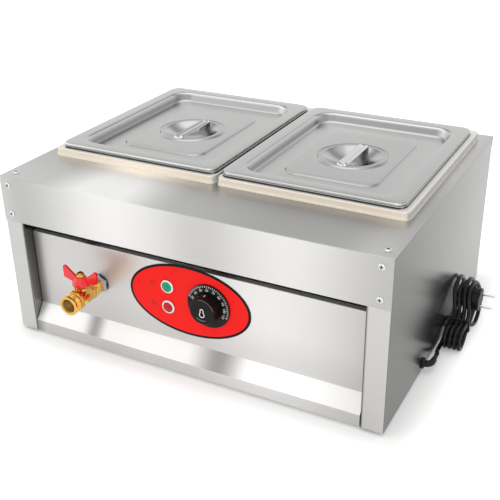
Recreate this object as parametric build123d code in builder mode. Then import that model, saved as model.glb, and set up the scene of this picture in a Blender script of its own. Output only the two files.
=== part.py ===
from build123d import *
from math import asin, cos, pi, radians, sin, tan
import os

# Bain marie for two half-size gastronorm pans, with a drain valve and a thermostat.
# Millimetres. X runs to the right, Y to the back, Z up. The origin is on the table,
# under the middle of the box round the case and the valve in front of it.

# Case
case_height = 250.0
deck_front = 104.0
deck_side = 18.0
deck_rear = 18.0
sheet = 1.0
bend_radius = 1.5
fascia_height = 69.0
rear_hem = 16.0
front_flange = 31.5
rear_flange = 14.0
edge_flange = 12.0
recess_depth = 18.0
return_overlap = 10.0
seam = 0.8

# Recessed front panel with its ledge and lip
panel_bottom = 42.0
lip_height = 18.0
panel_drop = 19.0
panel_top_return = 9.0
panel_bottom_return = 16.0

# Base, feet and back
foot_height = 5.0
foot_radius = 11.0
foot_inset = 34.0
foot_setback = 48.0
base_upstand = 12.0
vent_length = 60.0
vent_height = 3.5
vent_pitch = 11.0
vent_rows = 4
vent_columns = 3
vent_spacing = 120.0

# Cover screws
screw_head_radius = 4.6
screw_head_height = 2.4
screw_head_round = 1.1
screw_shank_radius = 2.0
screw_hole_radius = 2.2
screw_length = 9.0
screw_inset = 14.5
screw_fascia_margin = 12.5
screw_deck_setback = 19.0
screw_back_inset = 8.0
screw_back_margin = 30.0

# Pan collars on the deck
collar_margin_x = 5.0
collar_margin_y = 9.0
collar_height = 11.0
collar_corner = 10.0
collar_gap = 4.0
collar_bead = 1.6
collar_skirt = 6.0
collar_round = 1.5
opening_slack = 0.5
deck_ledge = 5.0

# Gastronorm 1/2 pans
pan_width = 265.0
pan_depth = 325.0
pan_corner = 14.0
pan_body_width = 242.0
pan_body_depth = 302.0
pan_body_corner = 28.0
pan_height = 100.0
pan_taper = 4.0
pan_floor_round = 9.0
pan_edge = 3.0
pan_shift_x = 3.0
pan_shift_y = -4.0
rest_gap = 0.3

# Lids
lid_margin = 1.0
lid_edge = 4.0
lid_round = 1.2
lid_rim = 20.0
lid_tray_corner = 28.0
lid_tray_depth = 14.0
lid_tray_slope = 28.0
plateau_width = 142.0
plateau_depth = 196.0
plateau_rise = 2.4
plateau_corner = 6.0
plateau_slope = 50.0
dish_ring_radius = 50.0
dish_ring_rise = 1.6
dish_ring_slope = 40.0
bowl_radius = 42.0
bowl_depth = 15.0
strap_width = 13.0
strap_thickness = 1.4
strap_rib_width = 5.0
strap_rib_height = 1.5

# Water tank, heating element and thermostat bulb
tank_depth = 162.0
tank_gap = 1.0
tank_flange = 8.0
element_radius = 4.25
element_height = 16.0
element_bend = 30.0
element_first_x = 196.0
element_last_x = 118.0
element_far_x = -205.0
element_near = 62.0
element_far = 275.0
element_tail = 30.0
element_nut_radius = 9.0
element_nut_thickness = 5.0
bulb_radius = 3.0
bulb_rise = 30.0
bulb_length = 96.0
bulb_x = 2.0
bulb_tail = 14.0
bulb_gland_radius = 7.5
bulb_gland_thickness = 6.0
capillary_radius = 1.0
capillary_bend = 8.0

# Drain valve on a pipe through the front panel
valve_x = -147.0
valve_height = 102.0
valve_reach = 56.0
pipe_radius = 8.4
pipe_bore = 6.0
pipe_in_valve = 12.0
fit_gap = 0.05
gasket_radius = 14.0
gasket_thickness = 2.5
lock_nut_flats = 26.0
lock_nut_thickness = 7.0
rear_port_length = 15.0
port_radius = 11.6
port_bead = 0.8
front_port_length = 16.0
front_bore_radius = 8.3
front_bore_depth = 13.0
housing_flats = 23.5
ball_radius = 8.5
ball_bore = 5.0
ball_gap = 0.3
ball_flat = 7.5
seat_radius = 8.0
seat_reach = 9.5
boss_radius = 8.2
boss_height = 15.0
stem_radius = 3.4
stem_gap = 0.3
tang_width = 2.6
tang_depth = 1.6
packing_flats = 12.0
packing_height = 3.0
hub_base = 18.5
hub_radius = 12.5
hub_top_radius = 7.2
hub_skirt = 4.0
hub_height = 12.5
wing_reach = 28.5
wing_thickness = 3.4
wing_low = 25.5
wing_high = 43.0
handle_nut_flats = 10.0
handle_nut_height = 4.5
stem_tip = 2.0

# Control plate, lamps and thermostat
plate_width = 192.0
plate_height = 108.0
plate_thickness = 0.8
plate_x = 3.3
plate_z = 110.2
lamp_x = -29.5
lamp_z = 110.3
lamp_spacing = 32.2
bezel_radius = 10.3
bezel_height = 3.0
lens_radius = 7.6
lens_step = 1.6
lens_rise = 3.0
lamp_neck_radius = 6.6
lamp_body_radius = 9.0
lamp_body_length = 26.0
dial_x = 35.5
dial_z = 111.8
dial_radius = 32.7
dial_thickness = 3.0
knob_radius = 21.0
knob_front_radius = 19.6
knob_front_round = 2.5
knob_proud = 2.5
knob_gap = 0.5
knob_scoop_radius = 26.0
knob_scoop_bite = 2.6
knob_scoop_share = 0.6
shaft_radius = 3.0
shaft_gap = 0.3
shaft_in_knob = 10.0
shaft_in_body = 12.0
thermostat_width = 38.0
thermostat_length = 30.0

# Terminal block inside the case
block_length = 46.0
block_width = 20.0
block_height = 14.0
block_inset = 60.0
block_y = 40.0

# Power cord, with the gland that it leaves the right side by. The route is measured from
# the bottom of the case's front right corner.
cord_diameter = 6.2
cord_exit = 162.0
cord_exit_height = 15.0
gland_radius = 8.0
gland_thickness = 3.0
boot_bend = 9.0
boot_radius = 5.4
boot_tip_radius = 4.1
boot_tail = 6.0
cord_route = [
    (12.0, 177.0, 15.0),
    (12.0, 189.0, 15.0),
    (10.2, 200.5, 12.0),
    (6.8, 210.5, 6.4),
    (5.0, 222.0, 3.4),
    (5.0, 233.9, 3.4),
]

# Hank of the cord, on its edge beside the case, with the plug in its eye; the turns differ in size
hank_pitch = 7.1
hank_fold = 14.0
hank_eyes = (37.0, 33.0, 35.0, 33.0)
hank_lengths = (76.0, 73.0, 78.0, 75.0)
hank_waist = 8.2
hank_waist_at = 28.0
tie_thickness = 1.2
tie_width = 4.0
tie_gap = 0.3
plug_bend = 25.0
plug_turn = 26.0
plug_lead = 3.0
plug_radius = 17.5
plug_thickness = 20.0
plug_rear = 12.0
plug_chamfer = 3.0
plug_notch_width = 8.0
plug_notch_depth = 2.2
plug_boot_length = 20.0
plug_boot_radius = 5.5
plug_boot_tip = 3.4
pin_radius = 2.4
pin_length = 19.0
pin_spacing = 19.0

# Sizes and places worked out from these
collar_width = pan_width + 2 * collar_margin_x
collar_depth = pan_depth + 2 * collar_margin_y
opening_width = pan_body_width + 2 * (opening_slack + pan_shift_x)
opening_depth = pan_body_depth + 2 * (opening_slack - pan_shift_y)
case_width = 2 * (collar_width + deck_side) + collar_gap
case_depth = deck_front + collar_depth + deck_rear
back_reach = screw_head_height - sheet
front = (valve_reach - case_depth - back_reach) / 2
rear = front + case_depth
back_face = rear - sheet
half = case_width / 2
base_z = foot_height
deck_z = base_z + case_height
under_deck = deck_z - sheet
panel_y = front + recess_depth
panel_back = panel_y + sheet
panel_top = deck_z - fascia_height - panel_drop
panel_half = half - front_flange - seam
plate_y = panel_y - plate_thickness
return_depth = recess_depth - sheet + return_overlap
collar_x = (collar_gap + collar_width) / 2
collar_y = front + deck_front + collar_depth / 2
collar_top = deck_z + collar_height
pan_x = collar_x - pan_shift_x
pan_y = collar_y + pan_shift_y
pan_top = collar_top + rest_gap + pan_edge
lid_width = pan_width - 2 * lid_margin
lid_depth = pan_depth - 2 * lid_margin
lid_top = pan_top + rest_gap + lid_edge
tray_z = lid_top - lid_tray_depth
plateau_z = tray_z + plateau_rise
ring_z = plateau_z + dish_ring_rise
tank_half_width = collar_x + collar_width / 2 - deck_ledge + tank_gap + sheet
tank_half_depth = collar_depth / 2 - deck_ledge + tank_gap + sheet
tank_front = collar_y - tank_half_depth
tank_floor = under_deck - tank_depth + sheet
element_z = tank_floor + element_height
bulb_z = tank_floor + bulb_rise
valve_z = base_z + valve_height
valve_mouth = front - valve_reach
valve_rear = panel_y - gasket_thickness - lock_nut_thickness
housing_start = valve_rear - rear_port_length
housing_end = valve_mouth + front_port_length
valve_y = (housing_start + housing_end) / 2
dial_height = base_z + dial_z
lamp_heights = {
    "power_lamp": base_z + lamp_z + lamp_spacing / 2,
    "heating_lamp": base_z + lamp_z - lamp_spacing / 2,
}
screw_x = half - screw_inset
fascia_screw_heights = (deck_z - screw_fascia_margin, deck_z - fascia_height + screw_fascia_margin)
fascia_screws_at = [(side * screw_x, z) for side in (-1, 1) for z in fascia_screw_heights]
deck_screws_at = [(side * screw_x, front + screw_deck_setback) for side in (-1, 1)]
back_screw_heights = (base_z + screw_back_margin, base_z + case_height / 2, deck_z - screw_back_margin)
back_screws_at = [(side * (half - screw_back_inset), z) for side in (-1, 1) for z in back_screw_heights]
foot_rows = (front + foot_setback, rear - foot_inset)
feet_at = [(side * (half - foot_inset), y) for side in (-1, 1) for y in foot_rows]


def save(piece, name):
    piece.part.label = name
    export_step(piece.part, f"parts/{name}.step")


def hexagon_radius(flats):
    return flats / 2 / cos(pi / 6)


def facing_front(y):
    """Plane at y whose normal points to the front."""
    return Plane.XZ.offset(-y)


def make_screws(seats):
    """Pan-head screws, each with its head on a seat plane and its shank behind the plane."""
    with BuildPart() as screws:
        for seat in seats:
            with BuildSketch(seat):
                Circle(screw_shank_radius)
            extrude(amount=-screw_length)
            with BuildSketch(seat):
                Circle(screw_head_radius)
            extrude(amount=screw_head_height - screw_head_round)
            with BuildSketch(seat.offset(screw_head_height - screw_head_round)):
                Circle(screw_head_radius)
            extrude(amount=screw_head_round, taper=45)
    return screws


os.makedirs("parts", exist_ok=True)

# Deck and fascia, folded from one sheet. Each folded piece is one bent line, thickened inwards.
with BuildPart() as top_deck:
    with BuildSketch(Plane.YZ):
        with BuildLine():
            FilletPolyline(
                (front, deck_z - fascia_height),
                (front, deck_z),
                (rear, deck_z),
                (rear, deck_z - rear_hem),
                radius=bend_radius,
            )
            offset(amount=sheet, side=Side.RIGHT)
        make_face()
    extrude(amount=half, both=True)
    with BuildSketch(Plane.XY.offset(deck_z)):
        with Locations((-collar_x, collar_y), (collar_x, collar_y)):
            RectangleRounded(collar_width - 2 * deck_ledge, collar_depth - 2 * deck_ledge, collar_corner)
        with Locations(*deck_screws_at):
            Circle(screw_hole_radius)
    extrude(amount=-2 * sheet, mode=Mode.SUBTRACT)
    with BuildSketch(facing_front(front)):
        with Locations(*fascia_screws_at):
            Circle(screw_hole_radius)
    extrude(amount=-2 * sheet, mode=Mode.SUBTRACT)
save(top_deck, "top_deck")

with BuildPart() as plain_side:
    with BuildSketch(Plane.XY.offset(base_z)):
        with BuildLine():
            FilletPolyline(
                (half - rear_flange, back_face - sheet),
                (half, back_face - sheet),
                (half, front + sheet),
                (half - front_flange, front + sheet),
                (half - front_flange, front + sheet + return_depth),
                radius=bend_radius,
            )
            offset(amount=sheet, side=Side.RIGHT)
        make_face()
    extrude(amount=case_height - sheet)
    # Top and bottom flanges carry the deck and the base plate
    flange_start = front + sheet + bend_radius
    flange_length = back_face - sheet - bend_radius - flange_start
    with BuildSketch(Plane.XY.offset(base_z), Plane.XY.offset(under_deck - sheet)):
        with Locations((half - sheet / 2, flange_start)):
            Rectangle(edge_flange - sheet / 2, flange_length, align=(Align.MAX, Align.MIN))
    extrude(amount=sheet)
    # Relief under the bend between fascia and deck
    with BuildSketch(Plane.YZ):
        with Locations((front + sheet, under_deck)):
            Rectangle(bend_radius, bend_radius, align=(Align.MIN, Align.MAX))
    extrude(amount=half, mode=Mode.SUBTRACT)
    with BuildSketch(facing_front(front + sheet)):
        with Locations(*fascia_screws_at):
            Circle(screw_hole_radius)
    extrude(amount=-sheet, mode=Mode.SUBTRACT)
    with BuildSketch(Plane.XY.offset(under_deck)):
        with Locations(*deck_screws_at):
            Circle(screw_hole_radius)
    extrude(amount=-sheet, mode=Mode.SUBTRACT)
    with BuildSketch(facing_front(back_face)):
        with Locations(*back_screws_at):
            Circle(screw_hole_radius)
    extrude(amount=2 * sheet, mode=Mode.SUBTRACT)

with BuildPart() as left_side_panel:
    mirror(plain_side.part, about=Plane.YZ)
save(left_side_panel, "left_side_panel")

# Only the right side has the hole for the cord
with BuildPart() as right_side_panel:
    add(plain_side.part)
    with BuildSketch(Plane.YZ.offset(half)):
        with Locations((front + cord_exit, cord_exit_height)):
            Circle(boot_radius + fit_gap)
    extrude(amount=-2 * sheet, mode=Mode.SUBTRACT)
save(right_side_panel, "right_side_panel")

# One folded sheet: recessed panel, sloping ledge, lip and bottom return
with BuildPart() as front_panel:
    with BuildSketch(Plane.YZ):
        with BuildLine():
            FilletPolyline(
                (panel_y + panel_top_return, panel_top),
                (panel_y, panel_top),
                (panel_y, base_z + panel_bottom),
                (front + sheet, base_z + lip_height),
                (front + sheet, base_z),
                (front + sheet + panel_bottom_return, base_z),
                radius=bend_radius,
            )
            offset(amount=sheet, side=Side.LEFT)
        make_face()
    extrude(amount=panel_half, both=True)
    with BuildSketch(facing_front(panel_y)):
        with Locations((valve_x, valve_z)):
            Circle(pipe_radius + ball_gap)
        with Locations(*[(lamp_x, z) for z in lamp_heights.values()]):
            Circle(lamp_neck_radius + fit_gap)
        with Locations((dial_x, dial_height)):
            Circle(shaft_radius + shaft_gap)
    extrude(amount=-2 * sheet, mode=Mode.SUBTRACT)
save(front_panel, "front_panel")

with BuildPart() as back_panel:
    with BuildSketch(facing_front(back_face)):
        with Locations((0, base_z)):
            back_height = case_height - sheet - bend_radius
            Rectangle(case_width - 2 * seam, back_height, align=(Align.CENTER, Align.MIN))
        with Locations((0, base_z + case_height / 2)):
            with GridLocations(vent_spacing, vent_pitch, vent_columns, vent_rows):
                SlotOverall(vent_length, vent_height, mode=Mode.SUBTRACT)
        with Locations(*back_screws_at):
            Circle(screw_hole_radius, mode=Mode.SUBTRACT)
    extrude(amount=sheet)
save(back_panel, "back_panel")

# The base lies on the side flanges, with a tongue that the front panel hooks under
base_front = front + sheet + return_depth + seam
base_rear = back_face - 2 * sheet
tongue_front = front + 2 * sheet + bend_radius
with BuildPart() as base_plate:
    with BuildSketch(Plane.XY.offset(base_z + sheet)):
        with Locations((0, base_front)):
            Rectangle(case_width - 4 * sheet, base_rear - base_front, align=(Align.CENTER, Align.MIN))
        with Locations((0, tongue_front)):
            Rectangle(2 * panel_half, base_front - tongue_front, align=(Align.CENTER, Align.MIN))
        with Locations(*feet_at):
            Circle(screw_hole_radius, mode=Mode.SUBTRACT)
    extrude(amount=sheet)
    with BuildSketch(Plane.XY.offset(base_z + sheet)):
        with Locations((0, base_rear - rear_flange)):
            Rectangle(case_width - 4 * rear_flange, sheet, align=(Align.CENTER, Align.MIN))
    extrude(amount=base_upstand)
save(base_plate, "base_plate")

with BuildPart() as rubber_feet:
    for x, y in feet_at:
        with BuildSketch(Plane.XY.offset(base_z + sheet)):
            with Locations((x, y)):
                Circle(foot_radius)
        extrude(amount=-(base_z + sheet), taper=6)
    with BuildSketch(Plane.XY):
        with Locations(*feet_at):
            Circle(screw_head_radius + fit_gap)
    extrude(amount=foot_height / 2, mode=Mode.SUBTRACT)
    with BuildSketch(Plane.XY):
        with Locations(*feet_at):
            Circle(screw_hole_radius)
    extrude(amount=base_z + 2 * sheet, mode=Mode.SUBTRACT)
save(rubber_feet, "rubber_feet")

# Each seat is the plane under a screw head, facing out of the case
fascia_seats = [Plane(origin=(x, front, z), z_dir=(0, -1, 0)) for x, z in fascia_screws_at]
deck_seats = [Plane(origin=(x, y, deck_z), z_dir=(0, 0, 1)) for x, y in deck_screws_at]
back_seats = [Plane(origin=(x, back_face, z), z_dir=(0, 1, 0)) for x, z in back_screws_at]
foot_seats = [Plane(origin=(x, y, foot_height / 2), z_dir=(0, 0, -1)) for x, y in feet_at]
save(make_screws(fascia_seats), "fascia_screws")
save(make_screws(deck_seats), "deck_screws")
save(make_screws(back_seats), "back_screws")
save(make_screws(foot_seats), "foot_screws")


def make_collar(x):
    """Raised frame on the deck round one pan: wall, flat top, turned-in skirt and foot bead."""
    with BuildPart() as collar:
        with BuildSketch(Plane.XY.offset(deck_z)):
            with Locations((x, collar_y)):
                RectangleRounded(collar_width, collar_depth, collar_corner)
        extrude(amount=collar_height)
        fillet(collar.faces().sort_by(Axis.Z)[-1].edges(), radius=collar_round)
        with BuildSketch(Plane.XY.offset(deck_z)):
            with Locations((x, collar_y)):
                RectangleRounded(collar_width - 2 * sheet, collar_depth - 2 * sheet, collar_corner - sheet)
        extrude(amount=collar_height - sheet, mode=Mode.SUBTRACT)
        with BuildSketch(Plane.XY.offset(collar_top - collar_skirt)):
            with Locations((x, collar_y)):
                skirt_grow = 2 * sheet
                RectangleRounded(opening_width + skirt_grow, opening_depth + skirt_grow, pan_body_corner + sheet)
        extrude(amount=collar_skirt - sheet / 2)
        with BuildSketch(Plane.XY.offset(deck_z)):
            with Locations((x, collar_y)):
                RectangleRounded(opening_width, opening_depth, pan_body_corner)
        extrude(amount=collar_height, mode=Mode.SUBTRACT)
        with BuildSketch(Plane.XY.offset(deck_z)):
            with Locations((x, collar_y)):
                grow = 2 * collar_bead
                RectangleRounded(collar_width + grow, collar_depth + grow, collar_corner + collar_bead)
                RectangleRounded(
                    collar_width - sheet, collar_depth - sheet, collar_corner, mode=Mode.SUBTRACT
                )
        extrude(amount=collar_bead)
    return collar


def make_pan(x):
    """Half-size gastronorm pan with tapered walls, rounded floor and turned-down edge."""
    with BuildPart() as pan:
        with BuildSketch(Plane.XY.offset(pan_top)):
            with Locations((x, pan_y)):
                RectangleRounded(pan_body_width, pan_body_depth, pan_body_corner)
        extrude(amount=-pan_height, taper=pan_taper)
        fillet(pan.faces().sort_by(Axis.Z)[0].edges(), radius=pan_floor_round)
        with BuildSketch(Plane.XY.offset(pan_top)):
            with Locations((x, pan_y)):
                RectangleRounded(pan_width, pan_depth, pan_corner)
        extrude(amount=-pan_edge)
        fillet(pan.faces().sort_by(Axis.Z)[-1].edges(), radius=collar_round)
        with BuildSketch(Plane.XY.offset(pan_top - pan_edge)):
            with Locations((x, pan_y)):
                RectangleRounded(pan_width - 2 * sheet, pan_depth - 2 * sheet, pan_corner - sheet)
                RectangleRounded(pan_body_width, pan_body_depth, pan_body_corner, mode=Mode.SUBTRACT)
        extrude(amount=pan_edge - sheet, mode=Mode.SUBTRACT)
        inner_width = pan_body_width - 2 * sheet
        inner_depth = pan_body_depth - 2 * sheet
        with BuildPart(mode=Mode.PRIVATE) as inside:
            with BuildSketch(Plane.XY.offset(pan_top)):
                with Locations((x, pan_y)):
                    RectangleRounded(inner_width, inner_depth, pan_body_corner - sheet)
            extrude(amount=-(pan_height - sheet), taper=pan_taper)
            fillet(inside.faces().sort_by(Axis.Z)[0].edges(), radius=pan_floor_round - sheet)
        add(inside.part, mode=Mode.SUBTRACT)
    return pan


def make_lid(x):
    """Pressed lid: flat rim, sloping tray, raised plateau, ring and round bowl."""
    tray_width = lid_width - 2 * lid_rim
    tray_depth = lid_depth - 2 * lid_rim

    def press(z, width, depth, corner, amount, slope, mode):
        with BuildSketch(Plane.XY.offset(z)) as outline:
            with Locations((x, pan_y)):
                RectangleRounded(width, depth, corner)
        extrude(outline.sketch, amount=amount, taper=slope, mode=mode)

    with BuildPart() as lid:
        press(lid_top, lid_width, lid_depth, pan_corner, -lid_edge, 0, Mode.ADD)
        fillet(lid.faces().sort_by(Axis.Z)[-1].edges(), radius=lid_round)
        walls = 2 * sheet
        hollow = (lid_width - walls, lid_depth - walls, pan_corner - sheet, -lid_edge)
        press(lid_top - sheet, *hollow, 0, Mode.SUBTRACT)
        outer = (tray_width + walls, tray_depth + walls, lid_tray_corner + sheet, -(lid_tray_depth + sheet))
        press(lid_top, *outer, lid_tray_slope, Mode.ADD)
        inner = (tray_width, tray_depth, lid_tray_corner, -lid_tray_depth)
        press(lid_top, *inner, lid_tray_slope, Mode.SUBTRACT)
        plateau = (plateau_width, plateau_depth, plateau_corner, plateau_rise, plateau_slope)
        press(tray_z, *plateau, Mode.ADD)
        press(tray_z - sheet, *plateau, Mode.SUBTRACT)
        for lift, mode in ((0, Mode.ADD), (-sheet, Mode.SUBTRACT)):
            with BuildSketch(Plane.XY.offset(plateau_z + lift)):
                with Locations((x, pan_y)):
                    Circle(dish_ring_radius)
            extrude(amount=dish_ring_rise, taper=dish_ring_slope, mode=mode)
        with BuildSketch(Plane.XY.offset(ring_z)):
            with Locations((x, pan_y)):
                Circle(bowl_radius)
        extrude(amount=-2 * sheet, mode=Mode.SUBTRACT)
        # The bowl is an arc turned about the lid's middle
        with BuildSketch(Plane.XZ.offset(-pan_y)):
            with BuildLine():
                ThreePointArc((x - bowl_radius, ring_z), (x, ring_z - bowl_depth), (x + bowl_radius, ring_z))
                Line((x + bowl_radius, ring_z), (x + bowl_radius + sheet, ring_z))
                ThreePointArc(
                    (x + bowl_radius + sheet, ring_z),
                    (x, ring_z - bowl_depth - sheet),
                    (x - bowl_radius - sheet, ring_z),
                )
                Line((x - bowl_radius - sheet, ring_z), (x - bowl_radius, ring_z))
            make_face()
            with Locations((x, ring_z)):
                left_half = (Align.MAX, Align.CENTER)
                Rectangle(bowl_radius * 2, bowl_radius * 4, align=left_half, mode=Mode.SUBTRACT)
        revolve(axis=Axis((x, pan_y, 0), (0, 0, 1)))
    return lid


def make_strap(x):
    """Strap handle across the bowl, with a rib pressed along it."""
    with BuildPart() as strap:
        with BuildSketch(facing_front(pan_y)):
            with Locations((x, ring_z)):
                Rectangle(strap_width, strap_thickness, align=(Align.CENTER, Align.MIN))
            with Locations((x, ring_z + strap_thickness)):
                Trapezoid(strap_rib_width + 2, strap_rib_height, 60, align=(Align.CENTER, Align.MIN))
            with Locations((x, ring_z)):
                Trapezoid(strap_rib_width, strap_rib_height, 60, align=(Align.CENTER, Align.MIN), mode=Mode.SUBTRACT)
        extrude(amount=dish_ring_radius - 2 * dish_ring_rise, both=True)
        corners = strap.edges().filter_by(Axis.Z).group_by(Axis.X)
        fillet(corners[0] + corners[-1], radius=strap_width / 4)
    return strap


for side, name in ((-1, "left"), (1, "right")):
    save(make_collar(side * collar_x), f"{name}_collar")
    save(make_pan(side * pan_x), f"{name}_pan")
    save(make_lid(side * pan_x), f"{name}_lid")
    save(make_strap(side * pan_x), f"{name}_lid_strap")


def make_tank_wall(plane, inner_face, out, reach):
    """Wall standing on the tank's floor plate, with its top edge folded outwards under the deck."""
    with BuildPart() as wall:
        with BuildSketch(plane):
            with BuildLine():
                FilletPolyline(
                    (inner_face, tank_floor),
                    (inner_face, under_deck),
                    (inner_face + out * (sheet + tank_flange), under_deck),
                    radius=bend_radius,
                )
                offset(amount=sheet, side=Side.LEFT if out < 0 else Side.RIGHT)
            make_face()
        extrude(amount=reach, both=True)
    return wall


# Water tank, welded from a floor plate and four walls
with BuildPart() as tank_floor_plate:
    with BuildSketch(Plane.XY.offset(tank_floor)):
        with Locations((0, collar_y)):
            Rectangle(2 * tank_half_width, 2 * tank_half_depth)
    extrude(amount=-sheet)
save(tank_floor_plate, "tank_floor_plate")

with BuildPart() as tank_front_wall:
    add(make_tank_wall(Plane.YZ, tank_front + sheet, -1, tank_half_width).part)
    with BuildSketch(facing_front(tank_front)):
        with Locations((valve_x, valve_z)):
            Circle(pipe_radius + fit_gap)
        with Locations((element_first_x, element_z), (element_last_x, element_z)):
            Circle(element_radius + fit_gap)
        with Locations((bulb_x, bulb_z)):
            Circle(bulb_radius + fit_gap)
    extrude(amount=-2 * sheet, mode=Mode.SUBTRACT)
save(tank_front_wall, "tank_front_wall")

tank_back = collar_y + tank_half_depth
tank_side_reach = tank_half_depth - sheet
save(make_tank_wall(Plane.YZ, tank_back - sheet, 1, tank_half_width), "tank_back_wall")
for side, name in ((-1, "left"), (1, "right")):
    side_face = side * (tank_half_width - sheet)
    side_wall = make_tank_wall(facing_front(collar_y), side_face, side, tank_side_reach)
    save(side_wall, f"tank_{name}_wall")

# Tubular element: one loop round the tank floor, both ends out through the front wall
with BuildPart() as heating_element:
    with BuildLine(Plane.XY.offset(element_z)) as element_path:
        FilletPolyline(
            (element_first_x, tank_front - element_tail),
            (element_first_x, tank_front + element_far),
            (element_far_x, tank_front + element_far),
            (element_far_x, tank_front + element_near),
            (element_last_x, tank_front + element_near),
            (element_last_x, tank_front - element_tail),
            radius=element_bend,
        )
    with BuildSketch(Plane(origin=element_path.line @ 0, z_dir=element_path.line % 0)):
        Circle(element_radius)
    sweep(path=element_path.line)
save(heating_element, "heating_element")

# A nut outside and a collar inside the tank wall for each end of the element
with BuildPart() as element_nuts:
    for x in (element_first_x, element_last_x):
        with BuildSketch(facing_front(tank_front)):
            with Locations((x, element_z)):
                RegularPolygon(element_nut_radius, 6)
                Circle(element_radius + fit_gap, mode=Mode.SUBTRACT)
        extrude(amount=element_nut_thickness)
        with BuildSketch(facing_front(tank_front + sheet)):
            with Locations((x, element_z)):
                Circle(element_nut_radius)
                Circle(element_radius + fit_gap, mode=Mode.SUBTRACT)
        extrude(amount=-element_nut_thickness / 2)
save(element_nuts, "element_nuts")

with BuildPart() as thermostat_bulb:
    with BuildSketch(facing_front(tank_front - bulb_tail)):
        with Locations((bulb_x, bulb_z)):
            Circle(bulb_radius)
    extrude(amount=-bulb_length)
    chamfer(thermostat_bulb.faces().sort_by(Axis.Y)[-1].edges(), length=bulb_radius / 3)
save(thermostat_bulb, "thermostat_bulb")

with BuildPart() as bulb_gland:
    with BuildSketch(facing_front(tank_front)):
        with Locations((bulb_x, bulb_z)):
            RegularPolygon(bulb_gland_radius, 6)
            Circle(bulb_radius + fit_gap, mode=Mode.SUBTRACT)
    extrude(amount=bulb_gland_thickness)
save(bulb_gland, "bulb_gland")

thermostat_end = panel_back + thermostat_length
with BuildPart() as thermostat_body:
    with BuildSketch(facing_front(panel_back)):
        with Locations((dial_x, dial_height)):
            RectangleRounded(thermostat_width, thermostat_width, 3)
    extrude(amount=-thermostat_length)
    with BuildSketch(facing_front(panel_back)):
        with Locations((dial_x, dial_height)):
            Circle(shaft_radius + shaft_gap)
    extrude(amount=-(shaft_in_body + shaft_gap), mode=Mode.SUBTRACT)
save(thermostat_body, "thermostat_body")

# Capillary from the thermostat's back, with an S bend, to the bulb
with BuildPart() as thermostat_capillary:
    capillary_half_way = (thermostat_end + tank_front - bulb_tail) / 2
    with BuildLine() as capillary_path:
        FilletPolyline(
            (dial_x, thermostat_end, dial_height),
            (dial_x, capillary_half_way, dial_height),
            (bulb_x, capillary_half_way, bulb_z),
            (bulb_x, tank_front - bulb_tail, bulb_z),
            radius=capillary_bend,
        )
    with BuildSketch(Plane(origin=capillary_path.line @ 0, z_dir=capillary_path.line % 0)):
        Circle(capillary_radius)
    sweep(path=capillary_path.line)
save(thermostat_capillary, "thermostat_capillary")

with BuildPart() as control_plate:
    with BuildSketch(facing_front(panel_y)):
        with Locations((plate_x, base_z + plate_z)):
            Ellipse(plate_width / 2, plate_height / 2)
        with Locations(*[(lamp_x, z) for z in lamp_heights.values()]):
            Circle(lamp_neck_radius + fit_gap, mode=Mode.SUBTRACT)
        with Locations((dial_x, dial_height)):
            Circle(shaft_radius + shaft_gap, mode=Mode.SUBTRACT)
    extrude(amount=plate_thickness)
save(control_plate, "control_plate")

for lamp, z in lamp_heights.items():
    with BuildPart() as bezel:
        with BuildSketch(facing_front(plate_y)):
            with Locations((lamp_x, z)):
                Circle(bezel_radius)
        extrude(amount=bezel_height)
        fillet(bezel.faces().sort_by(Axis.Y)[0].edges(), radius=bezel_height / 2)
        with BuildSketch(facing_front(plate_y)):
            with Locations((lamp_x, z)):
                Circle(lens_radius + fit_gap)
        extrude(amount=bezel_height, mode=Mode.SUBTRACT)
    save(bezel, f"{lamp}_bezel")

    # The lens is a short cylinder with a spherical cap
    with BuildPart() as lens:
        cap_y = plate_y - lens_step
        with BuildSketch(Plane.YZ.offset(lamp_x)):
            with BuildLine():
                rim_z = z + lens_radius
                Polyline((cap_y, rim_z), (plate_y, rim_z), (plate_y, z), (cap_y - lens_rise, z))
                cap_radius = (lens_radius**2 + lens_rise**2) / (2 * lens_rise)
                RadiusArc((cap_y - lens_rise, z), (cap_y, rim_z), cap_radius)
            make_face()
        revolve(axis=Axis((lamp_x, 0, z), (0, 1, 0)))
    save(lens, f"{lamp}_lens")

    with BuildPart() as lamp_body:
        with BuildSketch(facing_front(plate_y)):
            with Locations((lamp_x, z)):
                Circle(lamp_neck_radius)
        extrude(amount=-(panel_back - plate_y))
        with BuildSketch(facing_front(panel_back)):
            with Locations((lamp_x, z)):
                Circle(lamp_body_radius)
        extrude(amount=-lamp_body_length)
    save(lamp_body, f"{lamp}_body")

with BuildPart() as dial_ring:
    with BuildSketch(facing_front(plate_y)):
        with Locations((dial_x, dial_height)):
            Circle(dial_radius)
            Circle(knob_radius + 2 * shaft_gap, mode=Mode.SUBTRACT)
    extrude(amount=dial_thickness)
    rim = dial_ring.faces().sort_by(Axis.Y)[0].edges().sort_by(SortBy.LENGTH)[-1]
    chamfer(rim, length=dial_thickness / 3)
save(dial_ring, "dial_ring")

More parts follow.
